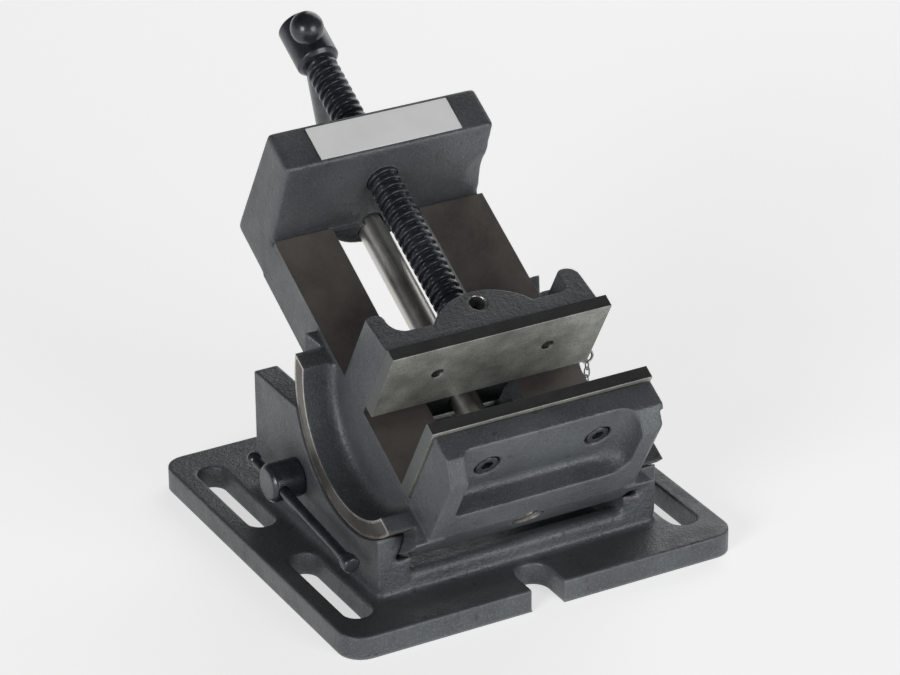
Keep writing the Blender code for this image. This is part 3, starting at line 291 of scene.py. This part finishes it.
def casting(name, node, body, turn, kind_of, finishes, wall_y=math.inf):
    """A fine copy of a cast node. kind_of(places) gives the finish that each place has.

    Everything behind wall_y has rounder edges.
    """
    mesh = frame["nodes"][node].data.copy()
    mesh.transform(turn.inverted())
    weld = ("WELD", {"merge_threshold": WELD})
    fine = evaluated(mesh, weld, ("REMESH", GRID))
    place = vectors(fine)
    kinds = kind_of(place)
    soften(fine, kinds != PAINTED, place[:, 1] > wall_y, *FILLETS[node])
    shown(name, fine, body, finishes, [node], turn)
    loop_vertices = np.empty(len(fine.loops), int)
    fine.loops.foreach_get("vertex_index", loop_vertices)
    starts = np.empty(len(fine.polygons), int)
    fine.polygons.foreach_get("loop_start", starts)
    face_kinds = np.minimum.reduceat(kinds[loop_vertices], starts)
    fine.polygons.foreach_set("material_index", face_kinds)
    fine.shade_smooth()
    mark_bounds(fine, face_kinds)


def mark_bounds(mesh, kinds):
    """Marks as sharp each edge between faces of different finishes."""
    shape = bmesh.new()
    shape.from_mesh(mesh)
    shape.faces.ensure_lookup_table()
    for edge in shape.edges:
        edge.smooth = len({kinds[face.index] for face in edge.link_faces}) < 2
    shape.to_mesh(mesh)
    shape.free()


def body_finish(place):
    """Milled rails, faced sides of the round flange, and bores, in the tilting frame."""
    x, y, z = place.T
    kinds = np.full(len(place), PAINTED)
    radius = np.hypot(y, z)
    outside = radius > FLANGE_INNER_RADIUS - PLANE_SLACK
    on_side = (np.abs(np.abs(x) - FLANGE_X) < PLANE_SLACK) & outside
    on_rim = np.abs(radius - SEAT_RADIUS) < PLANE_SLACK
    kinds[on_side | on_rim & (np.abs(x) > FLANGE_X - FLANGE_RIM_WIDTH)] = FACED
    on_rails = (np.abs(z - SLIDE_Z) < PLANE_SLACK) & (y > RAIL_FRONT_Y) & (y < RAIL_REAR_Y)
    kinds[on_rails] = MILLED
    from_rod = np.abs(np.hypot(x - SCREW_X, z - ROD_Z) - ROD_HOLE_RADIUS)
    from_screw = np.abs(np.hypot(x - SCREW_X, z - SCREW_Z) - SCREW_BORE_RADIUS)
    kinds[(from_rod < BORE_SLACK) & (y < RAIL_FRONT_Y)] = BORED
    kinds[(from_screw < BORE_SLACK) & (y > RAIL_REAR_Y - BORE_SLACK)] = BORED
    return kinds


def jaw_finish(place):
    """The countersunk hole on the moving jaw, in the tilting frame."""
    x, y, z = place.T
    in_hole = np.hypot(x - SCREW_X, y - RETAINER_Y) < RETAINER_MOUTH_RADIUS
    return np.where(in_hole & (z > SCREW_Z), BORED, PAINTED)


def base_finish(place):
    """The base's ground underside."""
    return np.where(np.abs(place[:, 2]) < PLANE_SLACK, MILLED, PAINTED)


def refined(name, node, body, slot, finish, *finer):
    """A copy of a node whose hard edges carry a small bevel, or that other modifiers refine."""
    mesh = frame["nodes"][node].data.copy()
    mesh.shade_smooth()
    weld = ("WELD", {"merge_threshold": WELD})
    finer = finer or (("BEVEL", FINE_BEVEL), ("WEIGHTED_NORMAL", {"weight": FACE_WEIGHT}))
    shown(name, evaluated(mesh, weld, *finer), body, [finish], [node])


# Materials

def node_material(name, base, roughness, metallic, specular=0.5):
    """A material with its shader and object coordinates, ready for more nodes."""
    material = bpy.data.materials.new(name)
    material.use_nodes = True
    tree = material.node_tree
    shader = tree.nodes["Principled BSDF"]
    shader.inputs["Base Color"].default_value = (*base, 1)
    shader.inputs["Roughness"].default_value = roughness
    shader.inputs["Metallic"].default_value = metallic
    shader.inputs["Specular IOR Level"].default_value = specular
    coordinates = tree.nodes.new("ShaderNodeTexCoord")
    return material, tree, shader, coordinates.outputs["Object"]


def noise(tree, vector, scale, detail=3, stretch=None):
    """Noise of a number of blobs per metre, stretched along the axes where asked."""
    if stretch:
        mapping = tree.nodes.new("ShaderNodeMapping")
        mapping.inputs["Scale"].default_value = stretch
        tree.links.new(vector, mapping.inputs["Vector"])
        vector = mapping.outputs["Vector"]
    node = tree.nodes.new("ShaderNodeTexNoise")
    node.inputs["Scale"].default_value = scale
    node.inputs["Detail"].default_value = detail
    tree.links.new(vector, node.inputs["Vector"])
    return node.outputs["Fac"]


def ramp(tree, value, *stops):
    """Colours between positions of a value."""
    node = tree.nodes.new("ShaderNodeValToRGB")
    elements = node.color_ramp.elements
    while len(elements) < len(stops):
        elements.new(0.5)
    for element, (position, colour) in zip(elements, stops):
        element.position = position
        element.color = (*colour, 1)
    tree.links.new(value, node.inputs["Fac"])
    return node.outputs["Color"]


def grey(level):
    """A neutral colour."""
    return (level, level, level)


def between(tree, value, dark, light):
    """Colours from dark to light over the range where most of a noise lies."""
    return ramp(tree, value, (NOISE_LOW, dark), (NOISE_HIGH, light))


def gloss(tree, shader, value, low, high):
    """Roughness between two levels, as a noise goes."""
    tree.links.new(between(tree, value, grey(low), grey(high)), shader.inputs["Roughness"])


def mixed(tree, share, under, over):
    """A colour laid over the colour of a socket, by the share that another socket gives."""
    node = tree.nodes.new("ShaderNodeMix")
    node.data_type = "RGBA"
    factor = next(s for s in node.inputs if s.name == "Factor" and s.type == "VALUE")
    below, above = (s for s in node.inputs if s.type == "RGBA")
    tree.links.new(share, factor)
    tree.links.new(under, below)
    above.default_value = (*over, 1)
    return next(s for s in node.outputs if s.type == "RGBA")


def bump(tree, shader, *layers):
    """Stacks bumps, each given as a height value and a depth in metres."""
    below = None
    for height, depth in layers:
        node = tree.nodes.new("ShaderNodeBump")
        node.inputs["Strength"].default_value = 1.0
        node.inputs["Distance"].default_value = depth
        tree.links.new(height, node.inputs["Height"])
        if below:
            tree.links.new(below, node.inputs["Normal"])
        below = node.outputs["Normal"]
    tree.links.new(below, shader.inputs["Normal"])


def edge_wear_and_highlight(tree):
    """How far the surface stands out, kept on each casting by soften."""
    node = tree.nodes.new("ShaderNodeAttribute")
    node.attribute_name = "edge_wear_and_highlight"
    return node.outputs["Fac"]


def cast_paint():
    """Blue-grey paint: pebbled skin, darker blotches, speckle as painted glints, edges rubbed and painted
    highlight.
    """
    material, tree, shader, where = node_material("cast_paint", (0.08, 0.085, 0.09), 0.45, 0.25)
    cloud = noise(tree, where, 45, 4)
    body = between(tree, cloud, (0.064, 0.070, 0.077), (0.098, 0.107, 0.114))
    speckle = noise(tree, where, 1300, 2)
    # Painted glints: faint light flecks of the hammered paint stand in for tiny highlights.
    painted_glint_flecks = ramp(tree, speckle, (0.52, grey(0)), (0.75, grey(0.5)))
    body = mixed(tree, painted_glint_flecks, body, (0.19, 0.20, 0.205))
    pits = ramp(tree, noise(tree, where, 260, 5), (0.26, grey(0.7)), (0.36, grey(0)))
    body = mixed(tree, pits, body, (0.035, 0.036, 0.038))
    # Outstanding edges turn lighter: partly rubbed paint, partly a painted highlight.
    ragged = tree.nodes.new("ShaderNodeMath")
    ragged.operation = "MULTIPLY_ADD"
    tree.links.new(noise(tree, where, 400, 4), ragged.inputs[0])
    ragged.inputs[1].default_value = FRAYING
    tree.links.new(edge_wear_and_highlight(tree), ragged.inputs[2])
    edge = ramp(tree, ragged.outputs[0], (0.12, grey(0)), (0.26, grey(0.55)))
    body = mixed(tree, edge, body, (0.20, 0.212, 0.218))
    tree.links.new(body, shader.inputs["Base Color"])
    gloss(tree, shader, noise(tree, where, 120, 3), 0.36, 0.50)
    bump(tree, shader, (speckle, 0.00018), (noise(tree, where, 520, 3), 0.00027))
    return material


def scratches(tree, where, angle, scale):
    """Fine straight scratches at an angle in the XY plane."""
    turn = tree.nodes.new("ShaderNodeMapping")
    turn.inputs["Rotation"].default_value = (0, 0, angle)
    tree.links.new(where, turn.inputs["Vector"])
    return noise(tree, turn.outputs["Vector"], scale, stretch=SCRATCH_STRETCH)


def machined_iron():
    """Milled rail iron, dark brown-grey, crossed by fine scratches."""
    base = (0.10, 0.085, 0.075)
    material, tree, shader, where = node_material("machined_iron", base, 0.4, 0.45)
    cloud = noise(tree, where, 50, 5)
    tone = between(tree, cloud, (0.115, 0.103, 0.093), (0.205, 0.186, 0.170))
    for angle, scale in ((0.5, 1300), (-0.7, 1100), (1.3, 1500)):
        crossing = scratches(tree, where, angle, scale)
        lines = ramp(tree, crossing, (0.50, grey(0)), (0.75, grey(0.35)))
        tone = mixed(tree, lines, tone, (0.20, 0.182, 0.166))
    tree.links.new(tone, shader.inputs["Base Color"])
    fine = scratches(tree, where, 0.5, 900)
    gloss(tree, shader, fine, 0.34, 0.52)
    bump(tree, shader, (fine, 0.000012), (cloud, 0.00005))
    return material


def faced_iron():
    """Faced flange iron, warm grey, with fine turning marks and a painted highlight along its edges."""
    material, tree, shader, where = node_material("faced_iron", (0.2, 0.19, 0.175), 0.42, 0.8)
    cloud = noise(tree, where, 70, 4)
    tone = between(tree, cloud, (0.10, 0.092, 0.084), (0.17, 0.16, 0.148))
    # Painted highlight: outstanding edges turn pale, standing in for light caught by the chamfers.
    edge = ramp(tree, edge_wear_and_highlight(tree), (0.08, grey(0)), (0.16, grey(0.75)))
    tone = mixed(tree, edge, tone, (0.62, 0.60, 0.56))
    tree.links.new(tone, shader.inputs["Base Color"])
    lines = noise(tree, where, 1400, 2, (0.05, 1.0, 1.0))
    gloss(tree, shader, lines, 0.32, 0.48)
    bump(tree, shader, (lines, 0.00001))
    return material


def ground_steel():
    """Ground jaw steel, grey-green, mottled, grained along the jaw, with painted shade on its top and dark ends.
    """
    material, tree, shader, where = node_material("ground_steel", (0.3, 0.3, 0.27), 0.5, 0.35)
    cloud = noise(tree, where, 110, 6)
    tone = ramp(tree, cloud, (0.32, (0.22, 0.226, 0.203)), (0.68, (0.40, 0.408, 0.372)))
    fine = ramp(tree, noise(tree, where, 1300, 3), (0.48, grey(0)), (0.70, grey(0.6)))
    tone = mixed(tree, fine, tone, (0.125, 0.127, 0.115))
    # Painted shade: faces that point up are darkened by their normal; faces along X are darker too.
    facing = tree.nodes.new("ShaderNodeSeparateXYZ")
    coordinates = tree.nodes.new("ShaderNodeTexCoord")
    tree.links.new(coordinates.outputs["Normal"], facing.inputs[0])
    painted_top_shade = ramp(tree, facing.outputs["Z"], (0.55, grey(0)), (0.80, grey(0.93)))
    tone = mixed(tree, painted_top_shade, tone, (0.022, 0.022, 0.026))
    sideways = tree.nodes.new("ShaderNodeMath")
    sideways.operation = "ABSOLUTE"
    tree.links.new(facing.outputs["X"], sideways.inputs[0])
    ends = ramp(tree, sideways.outputs[0], (0.75, grey(0)), (0.95, grey(0.85)))
    tone = mixed(tree, ends, tone, (0.07, 0.073, 0.076))
    tree.links.new(tone, shader.inputs["Base Color"])
    grain = noise(tree, where, 1800, 2, (0.08, 1.0, 1.0))
    gloss(tree, shader, grain, 0.40, 0.56)
    bump(tree, shader, (grain, 0.00001), (cloud, 0.00004), (fine, 0.00003))
    return material


def polished_steel():
    """Drawn bar, bright with faint cloudy wear."""
    material, tree, shader, where = node_material("polished_steel", (0.62, 0.60, 0.57), 0.38, 1.0)
    cloud = noise(tree, where, 80, 3)
    tone = between(tree, cloud, (0.60, 0.575, 0.54), (0.74, 0.72, 0.69))
    tree.links.new(tone, shader.inputs["Base Color"])
    gloss(tree, shader, cloud, 0.32, 0.44)
    return material


def black_oxide():
    """Oiled black steel with a satin gloss and slightly lighter rubbed spots."""
    material, tree, shader, where = node_material("black_oxide", (0.02, 0.021, 0.025), 0.3, 0.5)
    cloud = noise(tree, where, 150, 4)
    tone = ramp(tree, cloud, (0.35, (0.024, 0.027, 0.033)), (0.75, (0.055, 0.060, 0.070)))
    tree.links.new(tone, shader.inputs["Base Color"])
    gloss(tree, shader, noise(tree, where, 700, 3), 0.24, 0.34)
    shader.inputs["Coat Weight"].default_value = 0.35
    shader.inputs["Coat Roughness"].default_value = 0.22
    return material


def zinc_plate():
    """Dull zinc, faintly spangled."""
    material, tree, shader, where = node_material("zinc_plate", (0.42, 0.42, 0.41), 0.3, 0.95)
    tone = between(tree, noise(tree, where, 300, 3), grey(0.32), (0.50, 0.50, 0.49))
    tree.links.new(tone, shader.inputs["Base Color"])
    gloss(tree, shader, noise(tree, where, 900, 2), 0.28, 0.40)
    return material


def label_film():
    """Pale film, bare, with a faint skin."""
    material, tree, shader, where = node_material("label_film", (0.9, 0.91, 0.9), 0.6, 0.0, 0.2)
    tone = between(tree, noise(tree, where, 60, 3), (0.86, 0.87, 0.86), (0.92, 0.93, 0.92))
    tree.links.new(tone, shader.inputs["Base Color"])
    bump(tree, shader, (noise(tree, where, 500, 2), 0.00001))
    return material


# Turned pieces

def mesh_of(shape, sharp_angle=SHARP_ANGLE):
    """A mesh from a bmesh, smooth except across edges sharper than an angle."""
    bmesh.ops.recalc_face_normals(shape, faces=shape.faces)
    mesh = bpy.data.meshes.new("made")
    shape.to_mesh(mesh)
    shape.free()
    mesh.shade_smooth()
    mesh.set_sharp_from_angle(angle=sharp_angle)
    return mesh


def tube(rings):
    """Rings of equally many points joined in order, with both ends closed."""
    shape = bmesh.new()
    rings = [[shape.verts.new(point) for point in ring] for ring in rings]
    count = len(rings[0])
    for one, other in zip(rings, rings[1:]):
        for k in range(count):
            after = (k + 1) % count
            shape.faces.new((one[k], one[after], other[after], other[k]))
    shape.faces.new(rings[0])
    shape.faces.new(rings[-1])
    return shape


def turned(profile, sides=FINE_SIDES):
    """A solid turned about Y from (distance, radius) pairs."""
    rings = []
    for y, radius in profile:
        angles = [2 * math.pi * k / sides for k in range(sides)]
        rings.append([(radius * math.cos(a), y, radius * math.sin(a)) for a in angles])
    return mesh_of(tube(rings))


def rounded_profile(profile, radius):
    """A profile with each corner between its ends rounded, by no more than a share of each side."""
    made = [profile[0]]
    for before, corner, after in zip(profile, profile[1:], profile[2:]):
        corner = Vector(corner)
        into = Vector(before) - corner
        out = Vector(after) - corner
        reach = min(radius, into.length * CORNER_SHARE, out.length * CORNER_SHARE)
        start = corner + into.normalized() * reach
        end = corner + out.normalized() * reach
        for k in range(CORNER_STEPS + 1):
            t = k / CORNER_STEPS
            made.append(tuple(start.lerp(corner, t).lerp(corner.lerp(end, t), t)))
    made.append(profile[-1])
    return made


def ball_profile(centre, radius, neck):
    """A ball's profile along Y, from the neck where the bar enters to a tiny flat at its crown."""
    first = math.asin(neck / radius)
    made = []
    for k in range(BALL_STEPS + 1):
        angle = first + (math.pi - first) * k / BALL_STEPS
        across = max(math.sin(angle), CROWN_SHARE)
        made.append((centre - radius * math.cos(angle), radius * across))
    return made


def along(point, direction):
    """A frame at a point whose +Y runs in a direction."""
    turn = Vector((0, 1, 0)).rotation_difference(Vector(direction)).to_matrix().to_4x4()
    return Matrix.Translation(point) @ turn


def bored(mesh, place, radius, reach):
    """The mesh with a round hole along a frame's Y, both ways from its origin."""
    drill = turned([(-reach, radius), (reach, radius)], DRILL_SIDES)
    drill.transform(place)
    tool = placed("drill", drill)
    cut = {"operation": "DIFFERENCE", "solver": "EXACT", "object": tool}
    made = evaluated(mesh, ("BOOLEAN", cut))
    bpy.data.objects.remove(tool)
    made.set_sharp_from_angle(angle=SHARP_ANGLE)
    return made


def thread_height(turns):
    """Share of the thread's height at some turns past a crest: a flat, a flank and a flat root."""
    gap = abs((turns + 0.5) % 1 - 0.5)
    half_crest = CREST_SHARE / 2
    half_root = 0.5 - ROOT_SHARE / 2
    return 1 - min(max((gap - half_crest) / (half_root - half_crest), 0), 1)


def thread():
    """The screw's right-hand thread about Y, as a fine height field that runs out at both ends."""
    root = THREAD_RADIUS - THREAD_DEPTH
    steps = round(THREAD_LENGTH / THREAD_PITCH * THREAD_SAMPLES)
    rings = []
    for j in range(steps + 1):
        y = THREAD_LENGTH * j / steps
        fade = min(1, y / RUN_OUT, (THREAD_LENGTH - y) / RUN_OUT)
        ring = []
        for k in range(THREAD_SIDES):
            turn = k / THREAD_SIDES
            radius = root + THREAD_DEPTH * fade * thread_height(y / THREAD_PITCH - turn)
            angle = 2 * math.pi * turn
            ring.append((radius * math.cos(angle), THREAD_START_Y + y, -radius * math.sin(angle)))
        rings.append(ring)
    return mesh_of(tube(rings), math.pi)


def lead_screw(axis, handle_axis, finish):
    """Thread, journal and cross-drilled head, in the screw's frame and the handle bar's."""
    head_start = THREAD_START_Y + THREAD_LENGTH
    head_end = head_start + HEAD_LENGTH
    root = THREAD_RADIUS - THREAD_DEPTH
    head = turned(rounded_profile([
        (head_start - RUN_OUT, root),
        (head_start, root),
        (head_start, HEAD_RADIUS - SHOULDER_CHAMFER),
        (head_start + SHOULDER_CHAMFER, HEAD_RADIUS),
        (head_end - HEAD_CHAMFER, HEAD_RADIUS),
        (head_end, HEAD_RADIUS - HEAD_CHAMFER),
        (head_end, HEAD_RADIUS * FACE_SHARE),
    ], HEAD_ROUNDING))
    head.transform(axis)
    head = bored(head, handle_axis, HANDLE_RADIUS + BORE_PLAY, HEAD_RADIUS + BORE_OVERRUN)
    head.transform(axis.inverted())
    shown("screw_head", head, "screw", [finish], ["lead_screw"], axis)
    shown("screw_thread", thread(), "screw", [finish], [], axis)
    tip = THREAD_START_Y - JOURNAL_LENGTH
    journal = turned([
        (tip, JOURNAL_RADIUS - JOURNAL_CHAMFER),
        (tip + JOURNAL_CHAMFER, JOURNAL_RADIUS),
        (THREAD_START_Y + RUN_OUT, JOURNAL_RADIUS),
    ])
    shown("screw_journal", journal, "screw", [finish], [], axis)


def handle(axis, finish):
    """The sliding bar with a ball on each end, along the frame's Y."""
    neck = HANDLE_RADIUS * HANDLE_NECK_SHARE
    bar = turned(rounded_profile([
        (-HANDLE_FAR, neck),
        (HANDLE_BALL_RADIUS - HANDLE_FAR, neck),
        (HANDLE_SHOULDER - HANDLE_FAR, HANDLE_RADIUS),
        (HANDLE_NEAR - HANDLE_SHOULDER, HANDLE_RADIUS),
        (HANDLE_NEAR - HANDLE_BALL_RADIUS, neck),
        (HANDLE_NEAR, neck),
    ], HANDLE_ROUNDING))
    shown("handle_shaft", bar, "handle", [finish], ["handle_bar"], axis)
    near = turned(ball_profile(HANDLE_NEAR, HANDLE_BALL_RADIUS, neck))
    shown("handle_knob_near", near, "handle", [finish], ["handle_ball_near"], axis)
    far = turned([(-y, r) for y, r in ball_profile(HANDLE_FAR, HANDLE_BALL_RADIUS, neck)])
    shown("handle_knob_far", far, "handle", [finish], ["handle_ball_far"], axis)


def lock(wall, bar_axis, finish):
    """The tilt lock's screw, whose frame has +Y out of the wall, and its bar."""
    head = LOCK_HEAD_RADIUS
    screw = turned(rounded_profile([
        (-LOCK_SHANK_LENGTH, LOCK_SHANK_RADIUS),
        (LOCK_WALL_GAP, LOCK_SHANK_RADIUS),
        (LOCK_WALL_GAP, head - LOCK_FOOT_CHAMFER),
        (LOCK_WALL_GAP + 2 * LOCK_FOOT_CHAMFER, head),
        (LOCK_HEAD_LENGTH - LOCK_HEAD_CHAMFER, head),
        (LOCK_HEAD_LENGTH, head - LOCK_HEAD_CHAMFER),
        (LOCK_HEAD_LENGTH, head * FACE_SHARE),
    ], LOCK_HEAD_ROUNDING))
    screw.transform(wall)
    screw = bored(screw, bar_axis, LOCK_BAR_RADIUS + BORE_PLAY, head + BORE_OVERRUN)
    shown("lock_screw_turned", screw, "lock", [finish], ["lock_screw"])
    neck = LOCK_BAR_RADIUS * LOCK_NECK_SHARE
    bar = turned([(-LOCK_BAR_FRONT, LOCK_BAR_RADIUS), (LOCK_BAR_REAR, LOCK_BAR_RADIUS)])
    shown("lock_bar_shaft", bar, "lock_lever", [finish], ["lock_bar"], bar_axis)
    ball = turned(ball_profile(LOCK_BAR_REAR, LOCK_BALL_RADIUS, neck))
    shown("lock_bar_knob", ball, "lock_lever", [finish], ["lock_bar_ball"], bar_axis)
    tip = LOCK_BAR_FRONT + LOCK_CAP_RADIUS
    back = tip - LOCK_CAP_LENGTH
    step = LOCK_CAP_STEP
    cap = turned([(-y, r) for y, r in rounded_profile([
        (back, neck),
        (back, LOCK_CAP_RADIUS - 2 * step),
        (back + step, LOCK_CAP_RADIUS - step),
        (back + LOCK_COLLAR_LENGTH, LOCK_CAP_RADIUS - step),
        (back + LOCK_COLLAR_LENGTH + step, LOCK_CAP_RADIUS),
        (tip - step, LOCK_CAP_RADIUS),
        (tip, LOCK_CAP_RADIUS - step),
        (tip, LOCK_CAP_RADIUS * FACE_SHARE),
    ], step)])
    shown("lock_bar_tip", cap, "lock_lever", [finish], ["lock_bar_cap"], bar_axis)


def build():
    """Dresses every node of the frame."""
    joints = {joint["name"]: joint for joint in frame["joints"]}
    tilted = tilting_frame(joints)
    paint = cast_paint()
    milled = machined_iron()
    steel = ground_steel()
    bright = polished_steel()
    black = black_oxide()
    zinc = zinc_plate()
    film = label_film()
    casts = [paint, milled, faced_iron(), zinc]
    casting("base_dressed", "base_casting", "base", Matrix(), base_finish, casts)
    casting("body_dressed", "vise_body", "tilting_body", tilted, body_finish, casts, RAIL_REAR_Y)
    casting("jaw_dressed", "moving_jaw", "sliding_jaw", tilted, jaw_finish, casts)

    screw_axis = tilted @ Matrix.Translation((SCREW_X, 0, SCREW_Z))
    handle_y = THREAD_START_Y + THREAD_LENGTH + HANDLE_SET_BACK
    handle_axis = along(screw_axis @ Vector((0, handle_y, 0)), joints["handle_slide"]["axis"])
    lead_screw(screw_axis, handle_axis, black)
    handle(handle_axis, black)
    lock_axis = Vector(joints["lock_turn"]["pos_m"])
    outward = Vector((-1, 0, 0))
    bar_middle = lock_axis + outward * LOCK_BAR_OFFSET
    lock(along(lock_axis, outward), along(bar_middle, joints["lock_bar_slide"]["axis"]), black)

    rod = turned(rounded_profile([
        (ROD_FRONT_Y, ROD_RADIUS * FACE_SHARE),
        (ROD_FRONT_Y, ROD_RADIUS - ROD_CHAMFER),
        (ROD_FRONT_Y + ROD_CHAMFER, ROD_RADIUS),
        (ROD_END_Y - ROD_CHAMFER, ROD_RADIUS),
        (ROD_END_Y, ROD_RADIUS - ROD_CHAMFER),
        (ROD_END_Y, ROD_RADIUS * FACE_SHARE),
    ], ROD_ROUNDING))
    rod_axis = tilted @ Matrix.Translation((SCREW_X, 0, ROD_Z))
    shown("rod_turned", rod, "tilting_body", [bright], ["guide_rod"], rod_axis)

    bodies = frame["record"]["behaviour"]["bodies"]
    home = {node: body for body, members in bodies.items() for node in members}
    small = {
        "fixed_jaw_plate": (steel, "jaw"),
        "moving_jaw_plate": (steel, "jaw"),
        "fixed_jaw_screw_left": (black, "black"),
        "fixed_jaw_screw_right": (black, "black"),
        "moving_jaw_screw_left": (black, "black"),
        "moving_jaw_screw_right": (black, "black"),
        "lock_shoe": (zinc, "zinc"),
        "retainer_screw": (zinc, "zinc"),
        "index_pin": (zinc, "zinc"),
        "label_plate": (film, "label"),
    }
    for node, (finish, slot) in small.items():
        refined(node + "_dressed", node, home[node], slot, finish)
    wire = ("SUBSURF", {"levels": WIRE_LEVELS})
    for node in frame["nodes"]:
        if node.startswith("chain_link") or node == "tether_eye":
            refined(node + "_dressed", node, home[node], "zinc", zinc, wire)


def camera():
    """The photograph's view."""
    a, e = CAMERA_AZIMUTH, CAMERA_ELEVATION
    back = Vector((math.sin(a) * math.cos(e), -math.cos(a) * math.cos(e), math.sin(e)))
    data = bpy.data.cameras.new("camera")
    data.lens = CAMERA_LENS
    data.sensor_width = SENSOR_WIDTH
    eye = placed("camera", data)
    aim = (-back).to_track_quat("-Z", "Y").to_matrix().to_4x4()
    roll = Matrix.Rotation(CAMERA_ROLL, 4, "Z")
    eye.matrix_world = Matrix.Translation(CAMERA_TARGET + back * CAMERA_DISTANCE) @ aim @ roll
    bpy.context.scene.camera = eye


def studio():
    """A pale glowing floor, a sky that is dark above and lighter at the horizon, soft lamps."""
    bpy.context.scene.view_settings.view_transform = "Standard"
    floor_mesh = bpy.data.meshes.new("floor")
    half = FLOOR_SIZE / 2
    outline = [(-half, -half, 0), (half, -half, 0), (half, half, 0), (-half, half, 0)]
    floor_mesh.from_pydata(outline, [], [(0, 1, 2, 3)])
    material = bpy.data.materials.new("white_floor")
    material.use_nodes = True
    shader = material.node_tree.nodes["Principled BSDF"]
    shader.inputs["Base Color"].default_value = (*grey(FLOOR_GREY), 1)
    shader.inputs["Roughness"].default_value = FLOOR_ROUGHNESS
    shader.inputs["Specular IOR Level"].default_value = 0
    shader.inputs["Emission Color"].default_value = (1, 1, 1, 1)
    shader.inputs["Emission Strength"].default_value = FLOOR_GLOW
    floor_mesh.materials.append(material)
    floor = placed("floor", floor_mesh)
    floor.location.z = -FLOOR_DROP
    world = bpy.data.worlds.new("studio")
    bpy.context.scene.world = world
    world.use_nodes = True
    tree = world.node_tree
    direction = tree.nodes.new("ShaderNodeTexCoord")
    split = tree.nodes.new("ShaderNodeSeparateXYZ")
    tree.links.new(direction.outputs["Generated"], split.inputs[0])
    sky = ramp(tree, split.outputs["Z"], *[(height, grey(level)) for height, level in SKY_GREYS])
    background = tree.nodes["Background"]
    tree.links.new(sky, background.inputs["Color"])
    background.inputs["Strength"].default_value = SKY_STRENGTH
    for name, place, size, power in LAMPS:
        light = bpy.data.lights.new(name, "AREA")
        light.size = size
        light.energy = power
        lamp = placed(name, light)
        lamp.location = place
        aim = CAMERA_TARGET - Vector(place)
        lamp.rotation_mode = "QUATERNION"
        lamp.rotation_quaternion = aim.to_track_quat("-Z", "Y")


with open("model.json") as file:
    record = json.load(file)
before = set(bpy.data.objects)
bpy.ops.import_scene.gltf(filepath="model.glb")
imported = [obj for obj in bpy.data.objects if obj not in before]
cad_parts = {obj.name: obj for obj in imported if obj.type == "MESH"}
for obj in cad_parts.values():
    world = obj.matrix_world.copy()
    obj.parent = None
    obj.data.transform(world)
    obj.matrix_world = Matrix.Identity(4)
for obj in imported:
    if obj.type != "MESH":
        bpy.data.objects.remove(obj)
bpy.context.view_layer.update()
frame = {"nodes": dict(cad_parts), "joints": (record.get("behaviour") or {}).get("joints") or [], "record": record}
build()
camera()
studio()
